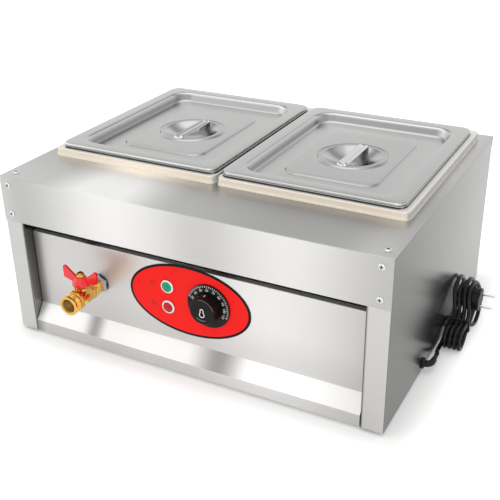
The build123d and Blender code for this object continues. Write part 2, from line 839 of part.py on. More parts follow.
# Knob with a slight taper, a rounded front and a finger scoop on either side
knob_back = plate_y - knob_gap
knob_front = front - knob_proud
with BuildPart() as knob:
    with BuildSketch(Plane.YZ.offset(dial_x)):
        with BuildLine():
            Polyline(
                (knob_back, dial_height),
                (knob_back, dial_height + knob_radius),
                (knob_back - dial_thickness, dial_height + knob_radius),
                (knob_front, dial_height + knob_front_radius),
                (knob_front, dial_height),
                close=True,
            )
        make_face()
    revolve(axis=Axis((dial_x, 0, dial_height), (0, 1, 0)))
    fillet(knob.faces().sort_by(Axis.Y)[0].edges(), radius=knob_front_round)
    scoop_offset = knob_radius + knob_scoop_radius - knob_scoop_bite
    with BuildSketch(facing_front(knob_front)):
        with Locations((dial_x - scoop_offset, dial_height), (dial_x + scoop_offset, dial_height)):
            Circle(knob_scoop_radius)
    extrude(amount=-(knob_back - knob_front) * knob_scoop_share, mode=Mode.SUBTRACT)
    with BuildSketch(facing_front(knob_back)):
        with Locations((dial_x, dial_height)):
            Circle(shaft_radius + fit_gap)
    extrude(amount=shaft_in_knob, mode=Mode.SUBTRACT)
save(knob, "knob")

with BuildPart() as thermostat_shaft:
    with BuildSketch(facing_front(knob_back - shaft_in_knob)):
        with Locations((dial_x, dial_height)):
            Circle(shaft_radius)
    extrude(amount=-(shaft_in_knob + panel_back - knob_back + shaft_in_body))
save(thermostat_shaft, "thermostat_shaft")

with BuildPart() as terminal_block:
    with BuildSketch(Plane.XY.offset(base_z + 2 * sheet)):
        with Locations((half - block_inset, block_y)):
            Rectangle(block_width, block_length)
    extrude(amount=block_height)
    chamfer(terminal_block.faces().sort_by(Axis.Z)[-1].edges().filter_by(Axis.Y), length=block_height / 4)
    with BuildSketch(Plane.XY.offset(base_z + 2 * sheet + block_height)):
        with Locations((half - block_inset, block_y)):
            with GridLocations(0, block_length / 3, 1, 3):
                Circle(block_height / 5)
    extrude(amount=-block_height / 2, mode=Mode.SUBTRACT)
save(terminal_block, "terminal_block")

# Drain: pipe from the tank, gasket and lock nut on the panel, then the brass ball valve
with BuildPart() as drain_pipe:
    with BuildSketch(facing_front(valve_rear - pipe_in_valve)):
        with Locations((valve_x, valve_z)):
            Circle(pipe_radius)
            Circle(pipe_bore, mode=Mode.SUBTRACT)
    extrude(amount=-(tank_front + 2 * sheet - valve_rear + pipe_in_valve))
save(drain_pipe, "drain_pipe")

with BuildPart() as drain_gasket:
    with BuildSketch(facing_front(panel_y)):
        with Locations((valve_x, valve_z)):
            Circle(gasket_radius)
            Circle(pipe_radius + fit_gap, mode=Mode.SUBTRACT)
    extrude(amount=gasket_thickness)
save(drain_gasket, "drain_gasket")

with BuildPart() as drain_lock_nut:
    with BuildSketch(facing_front(panel_y - gasket_thickness)):
        with Locations((valve_x, valve_z)):
            RegularPolygon(hexagon_radius(lock_nut_flats), 6, rotation=30)
            Circle(pipe_radius + fit_gap, mode=Mode.SUBTRACT)
    extrude(amount=lock_nut_thickness)
save(drain_lock_nut, "drain_lock_nut")



def round_bar(start, end, radius, mode=Mode.ADD):
    """Cylinder on the valve's axis from start to end."""
    with BuildSketch(facing_front(start)) as section:
        with Locations((valve_x, valve_z)):
            Circle(radius)
    extrude(section.sketch, amount=start - end, mode=mode)


def upright_bar(low, high, radius, mode=Mode.ADD):
    """Cylinder on the stem's axis, with heights above the valve's axis."""
    with BuildSketch(Plane.XY.offset(valve_z + low)) as section:
        with Locations((valve_x, valve_y)):
            Circle(radius)
    extrude(section.sketch, amount=high - low, mode=mode)


cavity_radius = ball_radius + ball_gap
with BuildPart() as valve_body:
    round_bar(valve_rear, housing_start, port_radius)
    round_bar(valve_rear - 3, valve_rear - 5, port_radius + port_bead)
    round_bar(valve_rear - 8, valve_rear - 10, port_radius + port_bead)
    with BuildSketch(facing_front(housing_start)):
        with Locations((valve_x, valve_z)):
            RegularPolygon(housing_flats / 2, 8, major_radius=False, rotation=22.5)
    extrude(amount=housing_start - housing_end)
    round_bar(housing_end, valve_mouth, port_radius)
    chamfer(valve_body.faces().sort_by(Axis.Y)[0].edges(), length=0.8)
    round_bar(housing_end, housing_end - 3, port_radius + port_bead)
    upright_bar(0, boss_height, boss_radius)
    # Two lugs stop the handle at shut and at open
    with BuildSketch(Plane.XY.offset(valve_z + boss_height / 2)):
        with Locations((valve_x - boss_radius, valve_y - boss_radius / 2), (valve_x, valve_y - boss_radius)):
            Circle(2.2)
    extrude(amount=boss_height / 2)
    round_bar(valve_y + seat_reach, valve_y - seat_reach, seat_radius + fit_gap, Mode.SUBTRACT)
    round_bar(valve_rear, valve_mouth, pipe_bore, Mode.SUBTRACT)
    round_bar(valve_rear, valve_rear - pipe_in_valve - fit_gap, pipe_radius + fit_gap, Mode.SUBTRACT)
    round_bar(valve_mouth + front_bore_depth, valve_mouth, front_bore_radius, Mode.SUBTRACT)
    upright_bar(0, boss_height, stem_radius + stem_gap, Mode.SUBTRACT)
    with Locations((valve_x, valve_y, valve_z)):
        Sphere(cavity_radius, mode=Mode.SUBTRACT)
save(valve_body, "valve_body")

with BuildPart() as valve_seats:
    round_bar(valve_y + seat_reach, valve_y - seat_reach, seat_radius)
    round_bar(valve_y + seat_reach, valve_y - seat_reach, pipe_bore, Mode.SUBTRACT)
    with Locations((valve_x, valve_y, valve_z)):
        Sphere(cavity_radius, mode=Mode.SUBTRACT)
save(valve_seats, "valve_seats")

# Shut: the bore of the ball lies across the pipe, the tang slot along it
with BuildPart() as valve_ball:
    with Locations((valve_x, valve_y, valve_z)):
        Sphere(ball_radius)
    upright_bar(ball_flat, ball_radius, ball_radius, Mode.SUBTRACT)
    with BuildSketch(Plane.YZ.offset(valve_x)):
        with Locations((valve_y, valve_z)):
            Circle(ball_bore)
    extrude(amount=ball_radius, both=True, mode=Mode.SUBTRACT)
    with BuildSketch(Plane.XY.offset(valve_z + ball_flat)):
        with Locations((valve_x, valve_y)):
            Rectangle(2 * ball_radius, tang_width)
    extrude(amount=-tang_depth, mode=Mode.SUBTRACT)
save(valve_ball, "valve_ball")

hub_top = hub_base + hub_height
stem_top = hub_top + handle_nut_height + stem_tip
with BuildPart() as valve_stem:
    upright_bar(ball_flat, stem_top, stem_radius)
    with BuildSketch(Plane.XY.offset(valve_z + ball_flat)):
        with Locations((valve_x, valve_y)):
            Rectangle(1.6 * stem_radius, tang_width - 2 * fit_gap)
    extrude(amount=-tang_depth)
save(valve_stem, "valve_stem")

with BuildPart() as packing_nut:
    with BuildSketch(Plane.XY.offset(valve_z + boss_height)):
        with Locations((valve_x, valve_y)):
            RegularPolygon(hexagon_radius(packing_flats), 6)
            Circle(stem_radius + stem_gap, mode=Mode.SUBTRACT)
    extrude(amount=packing_height)
save(packing_nut, "packing_nut")

# Butterfly handle: a cone with two wings that rise outwards
with BuildPart() as valve_handle:
    upright_bar(hub_base, hub_base + hub_skirt, hub_radius)
    with BuildSketch(Plane.XZ.offset(-valve_y)):
        with BuildLine():
            Polyline(
                (valve_x, valve_z + hub_base + hub_skirt),
                (valve_x + hub_radius, valve_z + hub_base + hub_skirt),
                (valve_x + hub_top_radius, valve_z + hub_top),
                (valve_x, valve_z + hub_top),
                close=True,
            )
        make_face()
    revolve(axis=Axis((valve_x, valve_y, 0), (0, 0, 1)))
    with BuildSketch(Plane.XZ.offset(-valve_y)):
        for side in (-1, 1):
            with BuildLine():
                Polyline(
                    (valve_x + side * hub_top_radius / 2, valve_z + hub_base + hub_skirt / 2),
                    (valve_x + side * hub_radius, valve_z + hub_base + hub_skirt / 2),
                    (valve_x + side * wing_reach, valve_z + wing_low),
                    (valve_x + side * wing_reach, valve_z + wing_high),
                    (valve_x + side * (wing_reach - 4), valve_z + wing_high),
                    (valve_x + side * hub_top_radius, valve_z + hub_top - 1.5),
                    (valve_x + side * hub_top_radius / 2, valve_z + hub_top - 1.5),
                    close=True,
                )
            make_face()
    extrude(amount=wing_thickness / 2, both=True)
    tips = valve_handle.edges().filter_by(Axis.Y).group_by(Axis.X)
    fillet(tips[0] + tips[-1], radius=1.5)
    upright_bar(hub_base, hub_top, stem_radius + fit_gap, Mode.SUBTRACT)
save(valve_handle, "valve_handle")

with BuildPart() as handle_nut:
    with BuildSketch(Plane.XY.offset(valve_z + hub_top)):
        with Locations((valve_x, valve_y)):
            RegularPolygon(hexagon_radius(handle_nut_flats), 6)
            Circle(stem_radius + fit_gap, mode=Mode.SUBTRACT)
    extrude(amount=handle_nut_height)
save(handle_nut, "handle_nut")

# Cord gland: flange on the side panel and a boot that bends to the rear and tapers
exit_y = front + cord_exit
with BuildPart() as cord_gland:
    with BuildSketch(Plane.YZ.offset(half - sheet)):
        with Locations((exit_y, cord_exit_height)):
            Circle(boot_radius)
    extrude(amount=sheet + gland_thickness)
    with BuildSketch(Plane.YZ.offset(half)):
        with Locations((exit_y, cord_exit_height)):
            Circle(gland_radius)
    extrude(amount=gland_thickness)
    chamfer(cord_gland.faces().sort_by(Axis.X)[-1].edges(), length=gland_thickness / 4)
    bend_start = Vector(half + gland_thickness, exit_y, cord_exit_height)
    bend_end = bend_start + Vector(boot_bend, boot_bend, 0)
    with BuildLine() as boot_path:
        TangentArc(bend_start, bend_end, tangent=(1, 0, 0))
    with BuildSketch(Plane(origin=bend_start, z_dir=(1, 0, 0))):
        Circle(boot_radius)
    sweep(path=boot_path.line)
    with BuildSketch(Plane(origin=bend_end, z_dir=(0, 1, 0))):
        Circle(boot_radius)
    with BuildSketch(Plane(origin=bend_end + Vector(0, boot_tail, 0), z_dir=(0, 1, 0))):
        Circle(boot_tip_radius)
    loft()
save(cord_gland, "cord_gland")

# Free stretch of the cord, down from the boot to the table and on to the hank
route = [Vector(half + x, front + y, z) for x, y, z in cord_route]
runs = [after - before for before, after in zip(route, route[1:])]
cord_radii = []
for run, next_run in zip(runs, runs[1:]):
    half_turn = radians(run.get_angle(next_run) / 2)
    cord_radii.append(0.45 * min(run.length, next_run.length) / tan(half_turn))
with BuildPart() as power_cord:
    with BuildLine() as cord_path:
        FilletPolyline(*route, radius=cord_radii)
    with BuildSketch(Plane(origin=cord_path.line @ 0, z_dir=cord_path.line % 0)):
        Circle(cord_diameter / 2)
    sweep(path=cord_path.line)
save(power_cord, "power_cord")
cord_length = cord_path.wires()[0].length
print("cord length", round(cord_length, 1), "radii", [round(radius, 1) for radius in cord_radii])
print("cord volume ratio", round(power_cord.part.volume / (pi * cord_diameter**2 / 4 * cord_length), 4))

# The hank leans until both its ends stand on the table: u runs along it, v across it
hank_loops = len(hank_eyes)
lean = asin(max((eye - hank_fold) / length for eye, length in zip(hank_eyes, hank_lengths)))
hank_start = route[-1]
fold_centre = hank_start + Vector(0, cord_diameter, hank_fold)
along = Vector(0, cos(lean), sin(lean))
across = Vector(0, -sin(lean), cos(lean))


def in_hank(u, v, layer):
    return fold_centre + along * u + across * v + Vector(layer * hank_pitch, 0, 0)


def add_arcs(start, end, tangent, next_tangent):
    """A quarter turn where the tangents cross, two opposite arcs where they are parallel."""
    if abs(tangent.dot(next_tangent)) < 0.5:
        TangentArc(start, end, tangent=tangent)
    else:
        middle = (start + end) / 2
        first = TangentArc(start, middle, tangent=tangent)
        TangentArc(middle, end, tangent=first % 1)


with BuildPart() as power_cord_hank:
    with BuildLine() as hank_path:
        fold_bottom = hank_start + Vector(0, cord_diameter, 0)
        Line(hank_start, fold_bottom)
        TangentArc(fold_bottom, in_hank(0, -hank_fold, 0), tangent=(0, 1, 0))
        for layer, (eye, length) in enumerate(zip(hank_eyes, hank_lengths)):
            turns = [
                (in_hank(0, -hank_fold, layer), along),
                (in_hank(hank_waist_at, -hank_waist, layer), along),
                (in_hank(length, -eye, layer), along),
                (in_hank(length + eye, 0, layer), across),
                (in_hank(length, eye, layer), -along),
                (in_hank(hank_waist_at, hank_waist, layer + 1), -along),
                (in_hank(0, hank_fold, layer + 1), -along),
                (in_hank(-hank_fold, 0, layer + 1), -across),
                (in_hank(0, -hank_fold, layer + 1), along),
            ]
            for (start, tangent), (end, next_tangent) in zip(turns, turns[1:]):
                add_arcs(start, end, tangent, next_tangent)
        last_waist = in_hank(hank_waist_at, -hank_waist, hank_loops)
        add_arcs(in_hank(0, -hank_fold, hank_loops), last_waist, along, along)
        turn = radians(plug_turn)
        plug_along = along * cos(turn) + across * sin(turn)
        turn_end = last_waist + (along * sin(turn) + across * (1 - cos(turn))) * plug_bend
        TangentArc(last_waist, turn_end, tangent=along)
        plug_boot_end = turn_end + plug_along * plug_lead
        Line(turn_end, plug_boot_end)
    with BuildSketch(Plane(origin=hank_start, z_dir=(0, 1, 0))):
        Circle(cord_diameter / 2)
    sweep(path=hank_path.line)
save(power_cord_hank, "power_cord_hank")

# Least gap of the hank to itself, between points more than a quarter fold apart along it
hank_wire = hank_path.wires()[0]
steps = round(hank_wire.length)
hank_points = hank_wire.positions([step / steps for step in range(steps + 1)])
apart = round(pi * hank_fold)
least = min(
    (here - there).length for i, here in enumerate(hank_points) for there in hank_points[i + apart :]
)
print("hank length", round(hank_wire.length), "least gap", round(least - cord_diameter, 2))

# The tie goes once round the waist of the hank
layers_deep = hank_loops * hank_pitch
with BuildPart() as cord_tie:
    tie_reach = cord_diameter / 2 + tie_gap
    tie_plane = Plane(origin=in_hank(hank_waist_at, 0, hank_loops / 2), x_dir=(1, 0, 0), z_dir=along)
    with BuildSketch(tie_plane):
        RectangleRounded(
            layers_deep + 2 * (tie_reach + tie_thickness),
            2 * (hank_waist + tie_reach + tie_thickness),
            tie_reach + tie_thickness,
        )
        RectangleRounded(
            layers_deep + 2 * tie_reach, 2 * (hank_waist + tie_reach), tie_reach, mode=Mode.SUBTRACT
        )
    extrude(amount=tie_width / 2, both=True)
save(cord_tie, "cord_tie")

# Round plug with a side boot and a notch at the top and the bottom
plug_centre = plug_boot_end + plug_along * (plug_boot_length + plug_radius)
face_centre = plug_centre + Vector(plug_thickness - plug_rear, 0, 0)
plug_face = Plane(origin=face_centre, x_dir=plug_along, z_dir=(1, 0, 0))
with BuildPart() as plug_body:
    with BuildSketch(plug_face):
        Circle(plug_radius)
    extrude(amount=-plug_thickness)
    chamfer(plug_body.faces().sort_by(Axis.X)[0].edges(), length=plug_chamfer)
    with BuildSketch(plug_face):
        with Locations((0, plug_radius), (0, -plug_radius)):
            Rectangle(plug_notch_width, 2 * plug_notch_depth)
    extrude(amount=-plug_thickness, mode=Mode.SUBTRACT)
    with BuildSketch(Plane(origin=plug_boot_end, z_dir=plug_along)):
        Circle(plug_boot_tip)
    with BuildSketch(Plane(origin=plug_centre - plug_along * (plug_radius / 2), z_dir=plug_along)):
        Circle(plug_boot_radius)
    loft()
save(plug_body, "plug_body")

with BuildPart() as plug_pins:
    with BuildSketch(plug_face):
        with GridLocations(pin_spacing, 0, 2, 1):
            Circle(pin_radius)
    extrude(amount=pin_length)
    fillet(plug_pins.faces().group_by(Axis.X)[-1].edges(), radius=pin_radius / 2)
save(plug_pins, "plug_pins")
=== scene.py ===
import math
import bpy
import bmesh
from mathutils import Matrix, Vector


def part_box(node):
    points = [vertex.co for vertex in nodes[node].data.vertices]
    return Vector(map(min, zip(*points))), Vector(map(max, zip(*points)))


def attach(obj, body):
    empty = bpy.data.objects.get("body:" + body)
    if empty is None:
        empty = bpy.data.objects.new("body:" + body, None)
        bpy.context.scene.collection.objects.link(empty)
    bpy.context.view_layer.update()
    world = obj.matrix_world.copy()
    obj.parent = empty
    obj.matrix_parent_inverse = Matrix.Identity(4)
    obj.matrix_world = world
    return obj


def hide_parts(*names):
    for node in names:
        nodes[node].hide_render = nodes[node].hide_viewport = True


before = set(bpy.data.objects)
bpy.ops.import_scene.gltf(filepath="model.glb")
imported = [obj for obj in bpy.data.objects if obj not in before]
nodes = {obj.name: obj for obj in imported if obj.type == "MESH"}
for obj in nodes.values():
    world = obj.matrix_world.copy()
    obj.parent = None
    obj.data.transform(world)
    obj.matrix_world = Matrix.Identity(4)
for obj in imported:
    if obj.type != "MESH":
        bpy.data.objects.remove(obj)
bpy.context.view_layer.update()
print("frame loaded,", len(nodes), "CAD nodes")


def middleOf(node):
    low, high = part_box(node)
    return (low + high) / 2


# A value is set on the socket, and an output of another node is linked to it
def feed(tree, node, inputs):
    for name, value in inputs.items():
        if isinstance(value, bpy.types.NodeSocket):
            tree.links.new(value, node.inputs[name])
        else:
            node.inputs[name].default_value = value


def addNode(tree, kind, inputs, **settings):
    node = tree.nodes.new(f"ShaderNode{kind}")
    for setting, value in settings.items():
        setattr(node, setting, value)
    feed(tree, node, inputs)
    return node


def maths(tree, operation, *values):
    return addNode(tree, "Math", dict(enumerate(values)), operation=operation).outputs[0]


def vectorMaths(tree, operation, *values):
    return addNode(tree, "VectorMath", dict(enumerate(values)), operation=operation).outputs


# Goes softly from low to high while the value goes from start to end
def softStep(tree, value, start, end, low=0, high=1):
    inputs = {"Value": value, "From Min": start, "From Max": end, "To Min": low, "To Max": high}
    return addNode(tree, "MapRange", inputs, interpolation_type="SMOOTHSTEP").outputs["Result"]


# Inputs are names with their values, outputs are names
def newGroup(name, inputs, outputs):
    group = bpy.data.node_groups.new(name, "ShaderNodeTree")
    for socketName, value in inputs.items():
        kind = "NodeSocketVector" if isinstance(value, tuple) else "NodeSocketFloat"
        group.interface.new_socket(socketName, in_out="INPUT", socket_type=kind).default_value = value
    for socketName in outputs:
        group.interface.new_socket(socketName, in_out="OUTPUT", socket_type="NodeSocketFloat")
    return group, group.nodes.new("NodeGroupInput").outputs, group.nodes.new("NodeGroupOutput")


def stretchedPlace(group, given):
    coords = addNode(group, "TexCoord", {}).outputs["Object"]
    return addNode(group, "Mapping", {"Vector": coords, "Scale": given["Stretch"]}).outputs["Vector"]


# A shade of 1 that the noise makes lighter and darker by half the amount
def shadeFrom(group, noise, amount):
    return maths(group, "MULTIPLY_ADD", maths(group, "SUBTRACT", noise, 0.5), amount, 1)


bandLimits = (0.3, 0.7)         # noise at which a band is darkest, and at which it ends
mottleScale = 60
everywhere = 50                 # a sheen's reach beyond any face
facingLimits = (0.6, 0.85)      # cosines from which a face starts to count and counts in full
bumpDistance = 0.0002


def brushedGrainGroup():
    group, given, result = newGroup("BrushedGrain", {"Stretch": (30, 900, 900), "Streak": 0.06}, ["Shade", "Height"])
    place = stretchedPlace(group, given)
    noise = addNode(group, "TexNoise", {"Vector": place, "Scale": 1, "Detail": 4, "Roughness": 0.65}).outputs["Fac"]
    feed(group, result, {"Shade": shadeFrom(group, noise, given["Streak"]), "Height": noise})
    return group


def softBandsGroup():
    group, given, result = newGroup("SoftBands", {"Stretch": (6, 1, 1), "Depth": 0.2, "Seed": 0}, ["Shade"])
    inputs = {"Vector": stretchedPlace(group, given), "W": given["Seed"], "Scale": 1, "Detail": 1}
    noise = addNode(group, "TexNoise", inputs, noise_dimensions="4D").outputs["Fac"]
    darkest = maths(group, "SUBTRACT", 1, given["Depth"])
    feed(group, result, {"Shade": softStep(group, noise, *bandLimits, low=darkest)})
    return group


def mouldGrainGroup():
    group, given, result = newGroup("MouldGrain", {"Size": 900, "Contrast": 0.1}, ["Shade", "Height"])
    place = addNode(group, "TexCoord", {}).outputs["Object"]
    fine = addNode(group, "TexNoise", {"Vector": place, "Scale": given["Size"], "Detail": 3}).outputs["Fac"]
    coarse = addNode(group, "TexNoise", {"Vector": place, "Scale": mottleScale}).outputs["Fac"]
    feed(group, result, {"Shade": shadeFrom(group, coarse, given["Contrast"]), "Height": fine})
    return group


# Painted light: a soft highlight or shade band painted into the sheet's colour, only on faces that look one way
def sheenGroup():
    group, given, result = newGroup(
        "PaintedLight", {"Axis": (1, 0, 0), "Centre": 0, "Reach": 0.1, "Facing": (0, -1, 0), "Gain": 0.3}, ["Shade"],
    )
    coords = addNode(group, "TexCoord", {}).outputs
    along = vectorMaths(group, "DOT_PRODUCT", coords["Object"], given["Axis"])["Value"]
    distance = maths(group, "ABSOLUTE", maths(group, "SUBTRACT", along, given["Centre"]))
    near = softStep(group, distance, given["Reach"], 0)
    turned = vectorMaths(group, "DOT_PRODUCT", coords["Normal"], given["Facing"])["Value"]
    both = maths(group, "MULTIPLY", near, softStep(group, turned, *facingLimits))
    feed(group, result, {"Shade": maths(group, "MULTIPLY_ADD", both, given["Gain"], 1)})
    return group


brushedGrain = brushedGrainGroup()
softBands = softBandsGroup()
mouldGrain = mouldGrainGroup()
paintedLightShade = sheenGroup()
print("shader groups ready")


def newMaterial(name, colour, shader):
    material = bpy.data.materials.new(name)
    material.use_nodes = True
    material.diffuse_color = (*colour, 1)
    surface = material.node_tree.nodes["Principled BSDF"]
    feed(material.node_tree, surface, {"Base Color": (*colour, 1), **shader})
    return material, material.node_tree, surface


def placeGroup(tree, group, **values):
    return addNode(tree, "Group", values, node_tree=group).outputs


# The colour times a shade that varies, into Base Color; in steel that shade holds painted light as well as grain
def shadeColour(tree, surface, colour, shade, clamp=True):
    inputs = {"Factor": 1, "A": colour, "B": shade}
    mix = addNode(tree, "Mix", inputs, data_type="RGBA", blend_type="MULTIPLY", clamp_result=clamp)
    feed(tree, surface, {"Base Color": mix.outputs["Result"]})


def addBump(tree, surface, height, strength):
    bump = addNode(tree, "Bump", {"Strength": strength, "Distance": bumpDistance, "Height": height})
    feed(tree, surface, {"Normal": bump.outputs["Normal"]})


# 1 on faces that look one way and lie within the reach, 0 elsewhere
def facingMask(tree, **values):
    return maths(tree, "SUBTRACT", placeGroup(tree, paintedLightShade, Gain=1, **values)["Shade"], 1)


# Painted reflection: the colour turns to a warm tint on faces that look one way
def tintTowards(tree, colour, reflectedTint, facing):
    inputs = {"Factor": facingMask(tree, Reach=everywhere, Facing=facing), "A": (*colour, 1), "B": (*reflectedTint, 1)}
    return addNode(tree, "Mix", inputs, data_type="RGBA").outputs["Result"]


# Painted reflection: faces that look one way glow, standing in for the bright room they mirror, with the sheet's own
# shade
def addGlow(tree, surface, shade, height, reach, facing, strength):
    mask = facingMask(tree, Axis=(0, 0, 1), Centre=height, Reach=reach, Facing=facing)
    feed(tree, surface, {"Emission Color": maths(tree, "MULTIPLY", mask, shade), "Emission Strength": strength})


# Painted light bands are (axis, centre, reach, facing, gain), highlights and shade painted into the colour; a glow is
# (height, reach, facing, strength)
def steel(
    name, colour, roughness, stretch, streak=0.08, bands=(6, 1, 1), bandDepth=0.12, seed=0, bump=0.08, paintedLight=(),
    metallic=1, reflectedTint=None, glow=None,
):
    material, tree, surface = newMaterial(name, colour, {"Metallic": metallic, "Roughness": roughness})
    grain = placeGroup(tree, brushedGrain, Stretch=stretch, Streak=streak)
    clouds = placeGroup(tree, softBands, Stretch=bands, Depth=bandDepth, Seed=seed)
    shade = maths(tree, "MULTIPLY", grain["Shade"], clouds["Shade"])
    for axis, centre, reach, facing, gain in paintedLight:
        paintedBand = placeGroup(tree, paintedLightShade, Axis=axis, Centre=centre, Reach=reach, Facing=facing, Gain=gain)
        shade = maths(tree, "MULTIPLY", shade, paintedBand["Shade"])
    shadeColour(tree, surface, tintTowards(tree, colour, *reflectedTint) if reflectedTint else (*colour, 1), shade)
    feed(tree, surface, {"Roughness": maths(tree, "MULTIPLY", grain["Shade"], roughness)})
    addBump(tree, surface, grain["Height"], bump)
    if glow:
        addGlow(tree, surface, shade, *glow)
    return material


# Fine grain in the colour and the surface; on mottled ones in the roughness too
def grained(name, colour, roughness, shader, size, contrast, bump, mottled):
    material, tree, surface = newMaterial(name, colour, {"Roughness": roughness, **shader})
    grain = placeGroup(tree, mouldGrain, Size=size, Contrast=contrast)
    shadeColour(tree, surface, (*colour, 1), grain["Shade"])
    if mottled:
        feed(tree, surface, {"Roughness": maths(tree, "MULTIPLY", grain["Shade"], roughness)})
    addBump(tree, surface, grain["Height"], bump)
    return material


def polishedMetal(name, colour, roughness, contrast=0.08):
    return grained(name, colour, roughness, {"Metallic": 1}, size=700, contrast=contrast, bump=0.05, mottled=False)


def plastic(name, colour, roughness, coat=0.0, size=900, contrast=0.15, bump=0.1, specular=0.5):
    shader = {"Coat Weight": coat, "Coat Roughness": 0.08, "Specular IOR Level": specular}
    return grained(name, colour, roughness, shader, size, contrast, bump, mottled=True)


# Coordinates with their origin in the middle, measured in the given scale
def placeAround(tree, middle, scale=(1, 1, 1)):
    coords = addNode(tree, "TexCoord", {}).outputs["Object"]
    inputs = {"Vector": coords, "Location": middle, "Scale": scale}
    return addNode(tree, "Mapping", inputs, vector_type="TEXTURE").outputs["Vector"]


plateLook = {
    "red": (1.0, 0.012, 0.009),
    "border": (0.004, 0.004, 0.004),
    "borderWidth": 0.0036,
    "bump": 0.03,
    "finish": {"Roughness": 0.5, "Specular IOR Level": 0.16, "Coat Weight": 0.05, "Coat Roughness": 0.15},
}


# Red film with a black border that follows the edge of the oval
def printedPlate():
    low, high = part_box("control_plate")
    halfWidth, halfHeight = [(high[i] - low[i]) / 2 - plateLook["borderWidth"] for i in (0, 2)]
    material, tree, surface = newMaterial("printedPlate", plateLook["red"], plateLook["finish"])
    place = placeAround(tree, middleOf("control_plate"), (halfWidth, 1, halfHeight))
    parts = addNode(tree, "SeparateXYZ", {"Vector": place}).outputs
    squareX, squareZ = [maths(tree, "MULTIPLY", parts[axis], parts[axis]) for axis in ("X", "Z")]
    outside = maths(tree, "GREATER_THAN", maths(tree, "ADD", squareX, squareZ), 1)
    inputs = {"Factor": outside, "A": (*plateLook["red"], 1), "B": (*plateLook["border"], 1)}
    printed = addNode(tree, "Mix", inputs, data_type="RGBA").outputs["Result"]
    grain = placeGroup(tree, mouldGrain, Size=500, Contrast=0.06)
    shadeColour(tree, surface, printed, grain["Shade"], clamp=False)
    addBump(tree, surface, grain["Height"], plateLook["bump"])
    return material


lensLook = {
    "spread": 2.4,       # how far the colours run, in radii of the lens
    "flatten": 1000,     # scale of the depth, which then doesn't count
    "cells": 420,
    "deepAt": 0.22,
    "brightAt": 0.85,
    "finish": {"Roughness": 0.25, "Specular IOR Level": 0.3, "Coat Weight": 0.05, "Coat Roughness": 0.05},
}


# Coloured cap, deep in the middle and brighter towards its rim, with facets
def lensMaterial(name, deep, bright, node):
    low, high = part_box(node)
    spread = (high.x - low.x) / 2 * lensLook["spread"]
    material, tree, surface = newMaterial(name, bright, lensLook["finish"])
    place = placeAround(tree, middleOf(node), (spread, lensLook["flatten"], spread))
    coords = addNode(tree, "TexCoord", {}).outputs["Object"]
    distance = vectorMaths(tree, "LENGTH", place)["Value"]
    cells = addNode(tree, "TexVoronoi", {"Vector": coords, "Scale": lensLook["cells"]}).outputs["Distance"]
    ramp = addNode(tree, "ValToRGB", {"Fac": maths(tree, "ADD", cells, distance)})
    first, last = ramp.color_ramp.elements
    first.position, first.color = lensLook["deepAt"], (*deep, 1)
    last.position, last.color = lensLook["brightAt"], (*bright, 1)
    feed(tree, surface, {"Base Color": ramp.outputs["Color"]})
    return material


alongX = (25, 1100, 1100)
alongY = (1100, 25, 1100)
acrossX, acrossY, upward = (1, 0, 0), (0, 1, 0), (0, 0, 1)
front, top, right, left = (0, -1, 0), (0, 0, 1), (1, 0, 0), (-1, 0, 0)
sloped = (0, -0.3, 1.05)      # the ledge, but not the upright sheet beside it
# Painted highlights and painted shade on the fascia and deck: bands where reflections of the room fall
deckPaintedLight = [
    (acrossX, 0, everywhere, front, 0.05),
    (acrossX, -0.100, 0.17, front, 0.66),
    (acrossX, 0.155, 0.15, front, 0.56),
    (acrossX, -0.31, 0.05, front, 0.20),
    (acrossX, -0.40, 0.62, top, 0.30),
    (acrossX, -0.120, 0.11, top, 0.95),
    (acrossX, 0.13, 0.18, top, -0.12),
    (acrossX, 0.27, 0.05, top, 0.24),
    (acrossY, -0.06, 0.15, top, -0.20),
]
# Painted light on the front panel: a highlight band, a brighter ledge, a painted reflection of the left inner wall,
# painted shade towards the bottom, and painted reflections of the valve and knob on the ledge
panelPaintedLight = [
    (acrossX, 0.125, 0.16, front, 0.26),
    (acrossX, -0.06, 0.10, front, 0.10),
    (acrossX, 0, everywhere, sloped, 0.34),
    (acrossX, -0.2650, 0.022, front, -0.55),
    (upward, 0.050, 0.060, front, -0.10),
    (upward, 0.0, 0.040, front, -0.10),
    (acrossX, 0.270, 0.090, front, -0.10),
    (acrossX, -0.158, 0.024, sloped, -0.60),
    (acrossX, 0.052, 0.056, sloped, -0.66),
]
postEdge = 0.2635      # where the flanges of the posts end beside the panel
# Painted light on the side sheets: painted shadow lines at the post's edge and under the deck's edge, a painted
# highlight towards the rear, painted shade high up and towards the front, and brighter post flanges
sidePaintedLight = [
    (acrossX, postEdge, 0.0040, front, -0.97),
    (upward, 0.2538, 0.0020, right, -0.60),
    (acrossY, 0.30, 0.42, right, 0.85),
    (upward, 0.24, 0.16, right, -0.10),
    (acrossY, -0.20, 0.16, right, -0.16),
    (acrossY, 0, everywhere, front, 1.6),
]
# Painted light on the left side: a painted shadow line at the post's edge, painted shade on the inner wall beside the
# panel, lighter towards its foot, and a brighter post flange
innerWallPaintedLight = [
    (acrossX, -postEdge, 0.0040, front, -0.97),
    (acrossY, 0, everywhere, right, -0.62),
    (upward, 0.02, 0.16, right, 1.1),
    (acrossY, 0, everywhere, front, 0.80),
]
